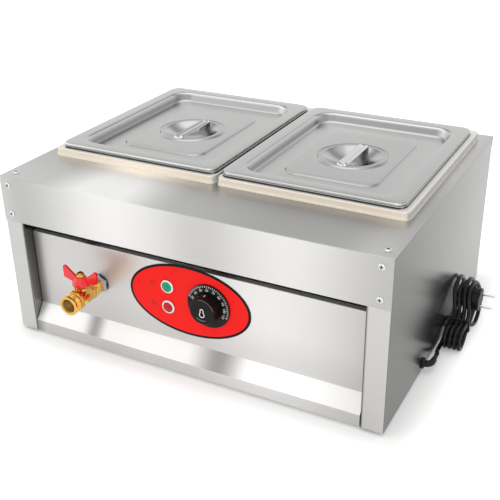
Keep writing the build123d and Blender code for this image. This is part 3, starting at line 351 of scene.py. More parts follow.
# Painted shadow: the edges of the rim, which lie in the gap under the lid, are darkened
panPaintedShade = [(upward, 0.268, 0.012, facing, -0.9) for facing in (front, right, left, (0, 1, 0))]
# Painted light on the collars: painted shade on faces to the right, and a faint painted highlight along the front near
# the top
collarPaintedLight = [
    (acrossY, 0, everywhere, right, -0.25),
    (upward, 0.257, 0.006, front, 0.06),
]
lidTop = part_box("left_lid")[1].z
# Painted light on the lids: painted shade on the tray walls, a painted highlight along the front edge, and darker flats
lidPaintedLight = [
    (upward, lidTop - 0.0095, 0.0085, right, -0.56),
    (upward, lidTop - 0.0095, 0.0075, left, -0.10),
    (upward, lidTop - 0.0016, 0.0034, front, 0.65),
    (upward, lidTop - 0.0108, 0.0022, top, -0.10),
    (acrossX, 0, everywhere, top, -0.09),
]
looks = {
    "deck": steel(
        "deckSteel", (0.53, 0.527, 0.522), 0.34, alongX, bands=(5, 0.6, 0.6), bandDepth=0.05, seed=2.3,
        paintedLight=deckPaintedLight,
    ),
    # Painted shade: the side sheets' steel gets a darker colour, for the darker room it mirrors
    "side": steel(
        "sideSteel", (0.27, 0.268, 0.263), 0.24, alongY, bands=(1, 2.5, 2.5), bandDepth=0.10, seed=5.1,
        paintedLight=sidePaintedLight,
    ),
    # A lighter copy of the side steel, which carries the left side's painted light
    "leftSide": steel(
        "leftSideSteel", (0.37, 0.368, 0.362), 0.24, alongY, bands=(1, 2.5, 2.5), bandDepth=0.10, seed=1.1,
        paintedLight=innerWallPaintedLight,
    ),
    # The ledge's glow is a painted reflection
    "panel": steel(
        "panelSteel", (0.72, 0.712, 0.705), 0.40, alongX, streak=0.04, bands=(4, 1, 1.5), bandDepth=0.05, bump=0.03,
        paintedLight=panelPaintedLight, metallic=0.7, glow=(0.035, 0.06, sloped, 0.12),
    ),
    # The collars' warm front is a painted reflection
    "collar": steel(
        "collarSteel", (0.80, 0.775, 0.74), 0.30, alongX, streak=0.04, bandDepth=0.04, bump=0.03, paintedLight=collarPaintedLight,
        metallic=0.15, reflectedTint=((1.0, 0.88, 0.74), front),
    ),
    "lid": steel(
        "lidSteel", (0.60, 0.60, 0.60), 0.23, alongX, streak=0.05, bands=(4, 4, 4), bandDepth=0.08, seed=3.7, bump=0.03,
        paintedLight=lidPaintedLight,
    ),
    "pan": steel("panSteel", (0.66, 0.66, 0.66), 0.26, alongX, bandDepth=0.08, seed=1.2, paintedLight=panPaintedShade),
    "tank": steel("tankSteel", (0.40, 0.40, 0.40), 0.42, alongX, bandDepth=0.15, seed=8.4),
    "element": polishedMetal("elementSteel", (0.22, 0.22, 0.22), 0.45, contrast=0.3),
    "strap": polishedMetal("strapSteel", (0.74, 0.74, 0.74), 0.16),
    "nut": polishedMetal("nutSteel", (0.60, 0.60, 0.62), 0.16),
    "bolt": polishedMetal("boltSteel", (0.85, 0.85, 0.85), 0.16),
    "recess": plastic("recessShadow", (0.05, 0.05, 0.05), 0.7),
    "chrome": polishedMetal("chrome", (0.82, 0.82, 0.83), 0.10),
    "brass": polishedMetal("brass", (0.80, 0.48, 0.12), 0.15, contrast=0.25),
    # Painted shade: a dark brass for the inside of the bore and its thread
    "brassPaintedShade": polishedMetal("brassPaintedShade", (0.30, 0.16, 0.04), 0.30, contrast=0.25),
    "copper": polishedMetal("copper", (0.76, 0.42, 0.27), 0.30, contrast=0.2),
    "enamel": plastic("redEnamel", (0.86, 0.010, 0.016), 0.22, coat=0.6, contrast=0.10, bump=0.03),
    "dial": plastic("dialBlack", (0.007, 0.007, 0.007), 0.45, specular=0.22),
    "knob": plastic("knobBlack", (0.005, 0.005, 0.005), 0.28, specular=0.20),
    # Painted highlight: a grey for arcs that stand in for glints on the knob
    "knobPaintedHighlight": plastic("knobPaintedHighlight", (0.14, 0.14, 0.14), 0.30, coat=0.3),
    "white": plastic("printWhite", (0.90, 0.90, 0.90), 0.45, contrast=0.04, bump=0.02),
    "ink": plastic("printBlack", (0.03, 0.01, 0.01), 0.45, contrast=0.05, bump=0.02),
    "innerBlack": plastic("innerPlastic", (0.06, 0.06, 0.06), 0.5),
    "block": plastic("blockPlastic", (0.70, 0.67, 0.58), 0.45),
    "seat": plastic("seatWhite", (0.80, 0.80, 0.78), 0.4),
    "rubber": plastic("footRubber", (0.02, 0.02, 0.02), 0.65, size=1500, bump=0.25),
    "cord": plastic("cordBlack", (0.004, 0.004, 0.004), 0.27, size=700, contrast=0.25, specular=0.32),
    "plug": plastic("plugBlack", (0.005, 0.005, 0.005), 0.42, size=1200, contrast=0.2, bump=0.15, specular=0.30),
    "plate": printedPlate(),
    "greenLens": lensMaterial("greenLens", (0.0, 0.10, 0.045), (0.003, 0.46, 0.20), "power_lamp_lens"),
    "redLens": lensMaterial("redLens", (0.16, 0.001, 0.003), (0.66, 0.008, 0.014), "heating_lamp_lens"),
}

nodeLooks = {
    "deck": ["top_deck"],
    "side": ["right_side_panel", "back_panel", "base_plate"],
    "leftSide": ["left_side_panel"],
    "panel": ["front_panel"],
    "collar": ["left_collar", "right_collar"],
    "pan": ["left_pan", "right_pan"],
    "lid": ["left_lid", "right_lid"],
    "strap": ["left_lid_strap", "right_lid_strap"],
    "tank": ["tank_floor_plate", "tank_front_wall", "tank_back_wall", "tank_left_wall", "tank_right_wall"],
    "element": ["heating_element"],
    "bolt": ["fascia_screws", "deck_screws", "back_screws", "foot_screws", "thermostat_shaft"],
    "chrome": ["power_lamp_bezel", "heating_lamp_bezel", "valve_ball", "plug_pins"],
    "nut": ["drain_lock_nut"],
    "brass": [
        "element_nuts", "bulb_gland", "drain_pipe", "valve_body", "valve_stem", "packing_nut", "handle_nut",
    ],
    "copper": ["thermostat_bulb", "thermostat_capillary"],
    "enamel": ["valve_handle"],
    "dial": ["dial_ring"],
    "knob": ["knob"],
    "innerBlack": ["thermostat_body", "power_lamp_body", "heating_lamp_body"],
    "block": ["terminal_block"],
    "seat": ["valve_seats"],
    "rubber": ["rubber_feet", "drain_gasket"],
    "cord": ["power_cord", "power_cord_hank", "cord_gland", "cord_tie"],
    "plug": ["plug_body"],
    "plate": ["control_plate"],
    "greenLens": ["power_lamp_lens"],
    "redLens": ["heating_lamp_lens"],
}
for look, names in nodeLooks.items():
    for name in names:
        nodes[name].data.materials.clear()
        nodes[name].data.materials.append(looks[look])
print("materials on all nodes:", sum(len(names) for names in nodeLooks.values()) == len(nodes))


xAxis, yAxis, zAxis = Vector((1, 0, 0)), Vector((0, 1, 0)), Vector((0, 0, 1))


def addObject(name, data):
    item = bpy.data.objects.new(name, data)
    bpy.context.scene.collection.objects.link(item)
    return item


def finishMesh(name, bm):
    bmesh.ops.recalc_face_normals(bm, faces=bm.faces)
    mesh = bpy.data.meshes.new(name)
    bm.to_mesh(mesh)
    bm.free()
    return mesh


def addPiece(name, bm, look, body, replaced=(), smooth=True, secondLook=None):
    mesh = finishMesh(f"{name}_mesh", bm)
    for polygon in mesh.polygons:
        polygon.use_smooth = smooth
    mesh.materials.append(looks[look])
    if secondLook:
        mesh.materials.append(looks[secondLook])
    piece = addObject(name, mesh)
    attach(piece, body)
    if replaced:
        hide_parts(*replaced)
    return piece


# The object's mesh as its modifiers or its text leave it
def finalMesh(item):
    bpy.context.view_layer.update()
    return bpy.data.meshes.new_from_object(item.evaluated_get(bpy.context.evaluated_depsgraph_get()))


# Rings of points in equal numbers, joined by quads; in a loop the last one meets the first
def joinRings(bm, rings, closeStart=True, closeEnd=True, loop=False):
    rows = [[bm.verts.new(point) for point in ring] for ring in rings]
    count = len(rows[0])
    for before, after in zip(rows, rows[1:] + rows[:1] if loop else rows[1:]):
        for i in range(count):
            j = (i + 1) % count
            bm.faces.new((before[i], before[j], after[j], after[i]))
    if closeStart and not loop:
        bm.faces.new(list(reversed(rows[0])))
    if closeEnd and not loop:
        bm.faces.new(rows[-1])


# A line of keys (values..., radius): each corner becomes a short curve of that reach
def soften(keys, steps):
    points = []
    for i, (*here, reach) in enumerate(keys):
        here = Vector(here)
        if reach == 0 or i in (0, len(keys) - 1):
            points.append(here)
            continue
        back, ahead = [Vector(keys[j][:-1]) - here for j in (i - 1, i + 1)]
        start = here + back * min(0.5, reach / back.length)
        end = here + ahead * min(0.5, reach / ahead.length)
        for t in (step / steps for step in range(steps + 1)):
            points.append(start * (1 - t) ** 2 + here * (2 * t * (1 - t)) + end * t**2)
    return points


def roundedRing(centre, halfWidth, halfDepth, corner, z, cornerSteps):
    ring = []
    for quadrant, (signX, signY) in enumerate(((1, 1), (-1, 1), (-1, -1), (1, -1))):
        for step in range(cornerSteps + 1):
            angle = math.pi / 2 * (quadrant + step / cornerSteps)
            ring.append(Vector((
                centre.x + signX * (halfWidth - corner) + corner * math.cos(angle),
                centre.y + signY * (halfDepth - corner) + corner * math.sin(angle),
                z,
            )))
    return ring


# Points of a circle, or of a polygon where count is small
def circle(middle, side, other, radius, count, turned=0):
    turns = [turned + 2 * math.pi * i / count for i in range(count)]
    return [middle + (side * math.cos(turn) + other * math.sin(turn)) * radius for turn in turns]


# The profile is (distance along the axis, radius), and its ends are closed
def lathe(bm, centre, axis, profile, count):
    side = axis.orthogonal().normalized()
    other = axis.cross(side)
    joinRings(bm, [circle(centre + axis * along, side, other, max(radius, 1e-5), count) for along, radius in profile])


lidShape = {
    "edgeHeight": 0.004,
    "edgeCorner": 0.014,
    "rim": 0.020,
    "trayCorner": 0.028,
    "trayDepth": 0.014,
    "traySlope": math.radians(28),
    "plateauHalf": (0.071, 0.098),
    "plateauCorner": 0.022,
    "plateauEdge": 0.0017,
    "plateauRise": 0.0022,
    "fieldInset": 0.012,
    "fieldCorner": 0.011,
    "rounds": (0.0016, 0.0034, 0.0045, 0.0008),      # outer edge, rim, tray, plateau
    "ringRise": 0.0018,
    "ring": [
        # radius, height over the plateau, reach of the rounding
        (0.0575, 0, 0), (0.0545, 0, 0.0008), (0.0525, -0.0009, 0.0008), (0.0503, 0.0018, 0.0010),
        (0.0481, 0.0009, 0.0008), (0.0440, 0.00135, 0.0010), (0.0400, -0.0011, 0),
    ],
    "bowlRadius": 0.0440,
    "bowlDepth": 0.015,
    "bowlSteps": 16,
    "thickness": 0.001,
    "cornerSteps": 12,
    "roundSteps": (5, 4),      # across the sheet's bends and across the ring's
}


def buildLid(side):
    shape = lidShape
    low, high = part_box(f"{side}_lid")
    centre, half = (low + high) / 2, (high - low) / 2
    rim, edge, edgeCorner, trayCorner = shape["rim"], shape["plateauEdge"], shape["edgeCorner"], shape["trayCorner"]
    lean = shape["trayDepth"] * math.tan(shape["traySlope"])
    trayZ = high.z - shape["trayDepth"]
    plateauZ = trayZ + shape["plateauRise"]
    plateauX, plateauY = shape["plateauHalf"]
    plateauCorner, inset = shape["plateauCorner"], shape["fieldInset"]
    edgeRound, rimRound, trayRound, plateauRound = shape["rounds"]
    # half width, half depth, corner, height, reach of the rounding
    keys = [
        (half.x, half.y, edgeCorner, high.z - shape["edgeHeight"], 0),
        (half.x, half.y, edgeCorner, high.z, edgeRound),
        (half.x - rim, half.y - rim, trayCorner, high.z, rimRound),
        (half.x - rim - lean, half.y - rim - lean, trayCorner - lean, trayZ, trayRound),
        (plateauX, plateauY, plateauCorner, trayZ, plateauRound),
        (plateauX - edge, plateauY - edge, plateauCorner - edge, plateauZ, plateauRound),
        (plateauX - inset, plateauY - inset, shape["fieldCorner"], plateauZ, 0),
    ]
    sheetSteps, ringSteps = shape["roundSteps"]
    rings = [
        roundedRing(centre, halfWidth, halfDepth, max(corner, 0.001), z, shape["cornerSteps"])
        for halfWidth, halfDepth, corner, z in soften(keys, sheetSteps)
    ]
    count = len(rings[0])
    profile = [(radius, plateauZ + height) for radius, height in soften(shape["ring"], ringSteps)]
    depth, bowlSteps = shape["bowlDepth"], shape["bowlSteps"]
    sphere = (shape["bowlRadius"] ** 2 + depth**2) / (2 * depth)
    bottom = plateauZ + shape["ringRise"] - depth
    for step in range(1, bowlSteps):
        radius = shape["ring"][-1][0] * (1 - step / bowlSteps)
        profile.append((radius, bottom + sphere - math.sqrt(sphere**2 - radius**2)))
    for radius, z in profile:
        rings.append(circle(Vector((centre.x, centre.y, z)), xAxis, yAxis, radius, count, math.pi / count))
    bm = bmesh.new()
    joinRings(bm, rings, closeStart=False)
    lid = addPiece(f"{side}_lid_pressed", bm, "lid", f"{side}_lid", [f"{side}_lid"])
    if sum(polygon.normal.z for polygon in lid.data.polygons) < 0:
        lid.data.flip_normals()
    sheet = lid.modifiers.new("sheet", "SOLIDIFY")
    sheet.thickness = shape["thickness"]
    sheet.offset = -1


strapShape = {
    "halfWidth": 0.0084,
    "thickness": 0.0012,
    "edge": 0.0004,
    "railAt": 0.0050,
    "railWidth": 0.0019,
    "railHeight": 0.0019,
    "railTop": 0.4,            # half of its flat top, as a share of its width
    "skinShares": (0.8, 0.5),  # of the thickness, in the middle and at the edges
    "sink": 0.0006,            # into the ring's top, between the ends
    "endDrop": 0.0012,
    "endFrom": 0.82,           # share of the half length where an end starts
    "endSquash": 0.55,
    "endNarrow": 0.30,
    "stations": 24,
}


# Two pressed rails run along the strap, which dips onto the ring at both ends
def buildStrap(side):
    shape = strapShape
    low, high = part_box(f"{side}_lid_strap")
    centre = (low + high) / 2
    rail, width, skin = shape["railAt"], shape["railWidth"], shape["thickness"]
    rise, half, inner = skin + shape["railHeight"], shape["halfWidth"], shape["halfWidth"] - shape["edge"]
    flat = width * shape["railTop"]
    middleShare, edgeShare = shape["skinShares"]
    halfSection = [
        (0, skin * middleShare), (rail - width, skin), (rail - flat, rise), (rail + flat, rise),
        (rail + width, skin), (inner, skin), (half, skin * edgeShare), (inner, 0),
    ]
    section = halfSection + [(-x, z) for x, z in reversed(halfSection[1:])]
    rings = []
    for i in range(shape["stations"] + 1):
        share = 2 * i / shape["stations"] - 1
        atEnd = max(0, (abs(share) - shape["endFrom"]) / (1 - shape["endFrom"]))
        y = centre.y + share * (high.y - low.y) / 2
        base = low.z - shape["sink"] * (1 - atEnd) - shape["endDrop"] * atEnd**2
        squash, narrow = 1 - shape["endSquash"] * atEnd**2, 1 - shape["endNarrow"] * atEnd**3
        rings.append([Vector((centre.x + x * narrow, y, base + z * squash)) for x, z in section])
    bm = bmesh.new()
    joinRings(bm, rings)
    addPiece(f"{side}_lid_handle", bm, "strap", f"{side}_lid", [f"{side}_lid_strap"])


for side in ("left", "right"):
    buildLid(side)
    buildStrap(side)
print("lids pressed")


screwShape = {
    "headRadius": 0.0046,
    "headHeight": 0.0024,
    "shankRadius": 0.0020,
    "shankLength": 0.009,
    "tipLength": 0.001,
    "tipShare": 0.6,         # of the shank's radius
    "domeSteps": 8,
    "domeFoot": 0.25,        # share of the head's height that stands upright
    "sides": 32,
    "turn": 0.7,             # times the vertices of the screws still to come, so that no two crosses agree
    "recessLength": 0.0050,
    "recessWidth": 0.0014,
    "recessDepth": 0.0015,
    "recessReach": (0.52, 0.51, 0.98),      # shares of its width, length and depth that mark its faces
    "aboveSeat": 0.0002,
    "upright": 0.02,                        # greatest z of a normal that lies flat
}


def addBox(bm, matrix, size):
    bmesh.ops.create_cube(bm, size=1, matrix=matrix @ Matrix.Diagonal((*size, 1)))


# Domed head along +Z with a cross recess
def screwTemplate():
    shape = screwShape
    shank, length = shape["shankRadius"], shape["shankLength"]
    profile = [(-length, shank * shape["tipShare"]), (shape["tipLength"] - length, shank)]
    profile += [(0, shank), (0, shape["headRadius"])]
    for step in range(1, shape["domeSteps"] + 1):
        angle = math.pi / 2 * step / shape["domeSteps"]
        profile.append((
            shape["headHeight"] * (shape["domeFoot"] + (1 - shape["domeFoot"]) * math.sin(angle)),
            max(shape["headRadius"] * math.cos(angle), 0.0001),
        ))
    bm = bmesh.new()
    lathe(bm, Vector((0, 0, 0)), zAxis, profile, shape["sides"])
    head = addObject("screwHead", finishMesh("screwHeadMesh", bm))
    bm = bmesh.new()
    for turn in (0, math.pi / 2):
        place = Matrix.Translation((0, 0, shape["headHeight"])) @ Matrix.Rotation(turn, 4, "Z")
        addBox(bm, place, (shape["recessLength"], shape["recessWidth"], 2 * shape["recessDepth"]))
    cross = addObject("screwCross", finishMesh("screwCrossMesh", bm))
    cut = head.modifiers.new("cut", "BOOLEAN")
    cut.object = cross
    cut.solver = "EXACT"
    cut.use_self = True
    mesh = finalMesh(head)
    for item in (head, cross):
        bpy.data.objects.remove(item)
    # The faces of the recess are the ones that lie inside the arms of the cross
    widthShare, lengthShare, depthShare = shape["recessReach"]
    armWidth, armLength = shape["recessWidth"] * widthShare, shape["recessLength"] * lengthShare
    recessFloor = shape["headHeight"] - shape["recessDepth"] * depthShare
    for polygon in mesh.polygons:
        x, y, z = polygon.center
        inArm = min(abs(x), abs(y)) < armWidth and max(abs(x), abs(y)) < armLength
        upright = abs(polygon.normal.z) < shape["upright"]
        polygon.material_index = 1 if inArm and z > shape["aboveSeat"] and (upright or z < recessFloor) else 0
    return mesh


# One domed screw over each solid of the node, found as the loose islands of its mesh
def buildScrews(node, axis, template):
    source = bmesh.new()
    source.from_mesh(nodes[node].data)
    bmesh.ops.remove_doubles(source, verts=source.verts, dist=1e-6)
    axis = Vector(axis)
    loose = dict.fromkeys(source.verts)      # in the mesh's own order, so that each run gives the same turns
    bm = bmesh.new()
    while loose:
        island, border = [], [loose.popitem()[0]]
        while border:
            vertex = border.pop()
            island.append(vertex)
            for edge in vertex.link_edges:
                other = edge.other_vert(vertex)
                if other in loose:
                    del loose[other]
                    border.append(other)
        tip = max(vertex.co.dot(axis) for vertex in island)
        sides = [[vertex.co[i] for vertex in island] for i in range(3)]
        middle = Vector([(min(side) + max(side)) / 2 for side in sides])
        seat = middle + axis * (tip - screwShape["headHeight"] - middle.dot(axis))
        turned = Matrix.Rotation(screwShape["turn"] * len(loose), 4, "Z")
        place = Matrix.Translation(seat) @ axis.to_track_quat("Z", "Y").to_matrix().to_4x4() @ turned
        copy = template.copy()
        copy.transform(place)
        bm.from_mesh(copy)
        bpy.data.meshes.remove(copy)
    source.free()
    addPiece(f"{node}_domed", bm, "bolt", "case", [node], secondLook="recess")


template = screwTemplate()
for node, axis in (
    ("fascia_screws", (0, -1, 0)), ("deck_screws", (0, 0, 1)), ("back_screws", (0, 1, 0)), ("foot_screws", (0, 0, -1)),
):
    buildScrews(node, axis, template)
print("screws turned")


dialMarks = {
    "first": -70,        # degrees from the top, clockwise
    "last": 112,
    "lowest": 30,
    "highest": 110,
    "step": 10,
    "between": 4,
    "outer": 0.0318,
    "major": 0.0284,
    "minor": 0.0292,
    "tickWidth": 0.0007,
    "numberRadius": 0.0251,
    "numberSize": 0.0048,
    "proud": 0.00012,
}


def addText(bm, text, size, depth, matrix):
    curve = bpy.data.curves.new("words", "FONT")
    curve.body = text
    curve.size = size
    curve.align_x = curve.align_y = "CENTER"
    curve.extrude = depth / 2
    curve.resolution_u = 3
    item = addObject("words", curve)
    mesh = finalMesh(item)
    mesh.transform(matrix)
    bm.from_mesh(mesh)
    bpy.data.objects.remove(item)
    bpy.data.meshes.remove(mesh)


# Frame whose XY lies on a plane that faces the front; turn is clockwise seen from the front
def onFront(x, y, z, turn=0):
    upright = Matrix.Rotation(math.pi / 2, 4, "X")
    return Matrix.Translation((x, y, z)) @ upright @ Matrix.Rotation(-turn, 4, "Z")


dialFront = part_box("dial_ring")[0].y
dialCentre = middleOf("dial_ring")


def buildDialMarks():
    marks = dialMarks
    bm = bmesh.new()
    intervals = (marks["highest"] - marks["lowest"]) // marks["step"]
    ticks = intervals * marks["between"]
    for i in range(ticks + 1):
        angle = math.radians(marks["first"] + (marks["last"] - marks["first"]) * i / ticks)
        ray = onFront(dialCentre.x, dialFront - marks["proud"] / 2, dialCentre.z, angle)
        isMajor = i % marks["between"] == 0
        inner = marks["major"] if isMajor else marks["minor"]
        middle = (inner + marks["outer"]) / 2
        size = (marks["tickWidth"], marks["outer"] - inner, marks["proud"])
        addBox(bm, ray @ Matrix.Translation((0, middle, 0)), size)
        if isMajor:
            number = marks["lowest"] + marks["step"] * (i // marks["between"])
            place = ray @ Matrix.Translation((0, marks["numberRadius"], 0))
            addText(bm, str(number), marks["numberSize"], marks["proud"], place)
    addPiece("dial_marks", bm, "white", "case", smooth=False)


knobMarks = {
    "pointer": (0.0013, 0.0042, 0.0003),    # width, length along the knob's side, height
    "pointerAt": (0.0208, 0.0075),          # from the axis and from the ring's front
    "bulbRadius": 0.0037,
    "stemRadius": 0.0023,
    "stemLength": 0.0064,
    "line": 0.0011,
    "drop": 0.0006,
    # Painted highlights: grey arcs on the knob's face, where glints fall
    "paintedHighlights": [(0.0128, 0.0012, 228, 294), (0.0187, 0.0007, 18, 104)],      # radius, width, span in degrees
    "proud": 0.00012,
}


# Flat line of a given width along 2D points
def addRibbon(bm, line, width, depth, place, closed=False):
    count = len(line)
    rings = []
    for i, point in enumerate(line):
        before = line[(i - 1) % count] if closed or i else point
        after = line[(i + 1) % count] if closed or i < count - 1 else point
        along = (after - before).normalized()
        across = Vector((-along.y, along.x)) * width / 2
        corners = []
        for sideSign, height in ((-1, -1), (1, -1), (1, 1), (-1, 1)):
            flat = point + across * sideSign
            corners.append(place @ Vector((flat.x, flat.y, height * depth / 2)))
        rings.append(corners)
    joinRings(bm, rings, loop=closed)


# Angles in degrees, anticlockwise from +X
def arcPoints(centre, radius, start, end, count=20):
    return [
        Vector((centre[0] + radius * math.cos(angle), centre[1] + radius * math.sin(angle)))
        for angle in (math.radians(start + (end - start) * i / count) for i in range(count + 1))
    ]


def buildKnobMarks():
    marks = knobMarks
    bm = bmesh.new()
    face = onFront(dialCentre.x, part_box("knob")[0].y - marks["proud"] / 2, dialCentre.z)
    radius, fromRing = marks["pointerAt"]
    addBox(bm, Matrix.Translation((dialCentre.x, dialFront - fromRing, dialCentre.z + radius)), marks["pointer"])
    # Outline of a thermometer: round bulb below, round-topped stem above
    opening = math.degrees(math.asin(marks["stemRadius"] / marks["bulbRadius"]))
    bulbCentre = (0, -marks["drop"] - marks["stemLength"] / 2)
    outline = arcPoints(bulbCentre, marks["bulbRadius"], 90 + opening, 450 - opening)
    outline += arcPoints((0, bulbCentre[1] + marks["stemLength"]), marks["stemRadius"], 0, 180, count=10)
    addRibbon(bm, outline, marks["line"], marks["proud"], face, closed=True)
    addPiece("knob_marks", bm, "white", "thermostat_knob", smooth=False)
    # Painted highlights on the knob's face
    bm = bmesh.new()
    for radius, width, start, end in marks["paintedHighlights"]:
        addRibbon(bm, arcPoints((0, 0), radius, start, end), width, marks["proud"], face)
    addPiece("knob_painted_highlights", bm, "knobPaintedHighlight", "thermostat_knob", smooth=False)


signMarks = {
    "left": 0.0245,      # middle of a sign, left of its lamp's centre
    "radius": 0.0034,
    "stroke": 0.00391,
    "line": 0.0007,
    "gapAngle": 34,
    "waveHeight": 0.0068,
    "waveSpacing": 0.0026,
    "waveSwing": 0.0006,
    "waveSteps": 14,
    "proud": 0.0001,
}


# A power sign beside the upper lamp and three heat waves beside the lower one
def buildLampSigns():
    marks = signMarks
    gap, steps = marks["gapAngle"], marks["waveSteps"]
    powerSign = [
        arcPoints((0, 0), marks["radius"], 90 + gap, 450 - gap, count=24),
        [Vector((0, 0)), Vector((0, marks["stroke"]))],
    ]
    heatSign = [
        [
            Vector((
                column * marks["waveSpacing"] + marks["waveSwing"] * math.sin(2 * math.pi * t),
                (t - 0.5) * marks["waveHeight"],
            ))
            for t in (i / steps for i in range(steps + 1))
        ]
        for column in (-1, 0, 1)
    ]
    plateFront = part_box("control_plate")[0].y - marks["proud"] / 2
    for name, lamp, lines in (
        ("power_sign", "power_lamp_bezel", powerSign), ("heat_sign", "heating_lamp_bezel", heatSign),
    ):
        centre = middleOf(lamp)
        face = onFront(centre.x - marks["left"], plateFront, centre.z)
        bm = bmesh.new()
        for line in lines:
            addRibbon(bm, line, marks["line"], marks["proud"], face)
        addPiece(name, bm, "ink", "case", smooth=False)


buildDialMarks()
buildKnobMarks()
buildLampSigns()
print("marks printed")


# Lengths run from the mouth to the rear, each with its radius
valveShape = {
    "outside": [
        (0, 0.0104), (0, 0.0135), (0.0009, 0.0144), (0.0034, 0.0144), (0.0042, 0.0134),
        (0.0051, 0.0141), (0.0061, 0.0132), (0.0071, 0.0141), (0.0081, 0.0132), (0.0091, 0.0141), (0.0101, 0.0132),
        (0.0111, 0.0141), (0.0122, 0.0130), (0.0136, 0.0121), (0.0150, 0.0116), (0.0205, 0.0116),
        (0.0240, 0.0125), (0.0327, 0.0130), (0.0415, 0.0125), (0.0440, 0.0116), (0.0505, 0.0112),
        (0.0518, 0.0112), (0.0526, 0.0124), (0.0540, 0.0124), (0.0548, 0.0113), (0.0566, 0.0113), (0.0574, 0.0124),
        (0.0588, 0.0124), (0.0596, 0.0113), (0.0645, 0.0113),
    ],
    "inside": [
        (0.0645, 0.0086), (0.0523, 0.0086), (0.0521, 0.0061), (0.0424, 0.0061), (0.0423, 0.0090), (0.0232, 0.0090),
        (0.0231, 0.0061), (0.0152, 0.0061), (0.0138, 0.0083), (0.0026, 0.0083), (0.0003, 0.0101),
    ],
    "flanges": [(0.0152, 0.0204, 0.0148, 8), (0.0442, 0.0504, 0.0136, 6)],      # start, end, radius, flats
    "flangeInside": 0.0105,
    "edge": 0.0008,
    "boreRadius": 0.0102,
    "bossRadius": 0.0082,
    "bossHole": 0.0038,
    "bossFrom": 0.0095,
    "bossHeight": 0.015,
    "lugFrom": 0.0075,
    "lugRadius": 0.0022,
    "lugEdge": 0.0004,
    "lugTop": 0.8,       # share of its radius
    "crispFrom": math.radians(32),      # faces that meet more sharply keep a crisp edge
}
pipeMiddle = middleOf("drain_pipe")
valveMouth = Vector((pipeMiddle.x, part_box("valve_body")[0].y, pipeMiddle.z))


# A turned ring whose profile runs round on itself, with flats where count is small
def turnedRing(bm, centre, axis, profile, count=56, turned=0):
    other = axis.cross(xAxis)
    rings = [circle(centre + axis * along, xAxis, other, radius, count, turned) for along, radius in profile]
    joinRings(bm, rings, loop=True)


def buildValveBody():
    shape = valveShape
    edge = shape["edge"]
    bm = bmesh.new()
    turnedRing(bm, valveMouth, yAxis, shape["outside"] + shape["inside"])
    # Faces inside the bore take the painted shade
    for face in bm.faces:
        reach = face.calc_center_median() - valveMouth
        face.material_index = 1 if math.hypot(reach.x, reach.z) < shape["boreRadius"] else 0
    for start, end, radius, flats in shape["flanges"]:
        inside = shape["flangeInside"]
        ring = [(start, inside), (start, radius - edge), (start + edge, radius)]
        ring += [(end - edge, radius), (end, radius - edge), (end, inside)]
        turnedRing(bm, valveMouth, yAxis, ring, flats, math.pi / flats)
    stem = Vector((valveMouth.x, middleOf("valve_ball").y, valveMouth.z))
    radius, hole, height = shape["bossRadius"], shape["bossHole"], shape["bossHeight"]
    boss = [(shape["bossFrom"], hole), (shape["bossFrom"], radius), (height - edge, radius), (height, radius - edge)]
    turnedRing(bm, stem, zAxis, boss + [(height, hole)], count=40)
    # Two lugs stop the handle at shut and at open
    lugRadius = shape["lugRadius"]
    lug = [(shape["lugFrom"], lugRadius), (height - shape["lugEdge"], lugRadius), (height, lugRadius * shape["lugTop"])]
    for place in ((-radius, -radius / 2, 0), (0, -radius, 0)):
        lathe(bm, stem + Vector(place), zAxis, lug, count=16)
    piece = addPiece("drain_valve_body", bm, "brass", "case", ["valve_body"], secondLook="brassPaintedShade")
    piece.data.set_sharp_from_angle(angle=shape["crispFrom"])


threadShape = {
    "radius": 0.00833,
    "depth": 0.0006,
    "pitch": 0.00134,
    "footShare": 0.42,      # half the ridge's foot, as a share of the pitch
    "turns": 7,
    "start": 0.0028,
    "stepsPerTurn": 36,
    "fadeSteps": 12,
    "leastFade": 0.05,
}


# Helical ridge on the wall of the valve's mouth
def buildMouthThread():
    shape = threadShape
    foot = yAxis * shape["pitch"] * shape["footShare"]
    steps = shape["turns"] * shape["stepsPerTurn"]
    rings = []
    for i in range(steps + 1):
        turn = i / shape["stepsPerTurn"]
        fade = max(shape["leastFade"], min(1, i / shape["fadeSteps"], (steps - i) / shape["fadeSteps"]))
        outward = Vector((math.cos(2 * math.pi * turn), 0, math.sin(2 * math.pi * turn)))
        middle = valveMouth + yAxis * (shape["start"] + shape["pitch"] * (turn + 0.5))
        wall = middle + outward * shape["radius"]
        rings.append([wall - foot, wall - outward * shape["depth"] * fade, wall + foot])
    bm = bmesh.new()
    joinRings(bm, rings)
    addPiece("drain_mouth_thread", bm, "brassPaintedShade", "case", smooth=False)


buildValveBody()
buildMouthThread()
print("valve turned")


halfCase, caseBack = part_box("right_side_panel")[1].xy
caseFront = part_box("top_deck")[0].y
cordShape = {
    "diameter": 0.0062,
    "exit": (0.0, 0.162, 0.015),
    "route": [
        (0.0120, 0.1770, 0.0150),
        (0.0120, 0.1890, 0.0150),
        (0.0102, 0.2005, 0.0120),
        (0.0068, 0.2105, 0.0064),
        (0.0050, 0.2220, 0.0034),
        (0.0050, 0.2339, 0.0034),
    ],
    "length": 1.41,
    "roundSteps": 5,
    "runSteps": 8,
}
hankShape = {
    "eyes": [0.037, 0.033, 0.035, 0.033],
    "lengths": [0.076, 0.073, 0.078, 0.075],
    "pitch": 0.0071,
    "fold": 0.014,
    "waist": 0.0082,
    "waistAt": 0.028,
    "fan": [0.0, 0.002, 0.005, 0.009],      # how far each eye's lower side stands out from the case
    "plugBend": 0.025,
    "plugTurn": math.radians(26),
    "plugLead": 0.005,
}


# Cord points are measured from the bottom of the case's front right corner
def fromCorner(point):
    return Vector((halfCase + point[0], caseFront + point[1], point[2]))


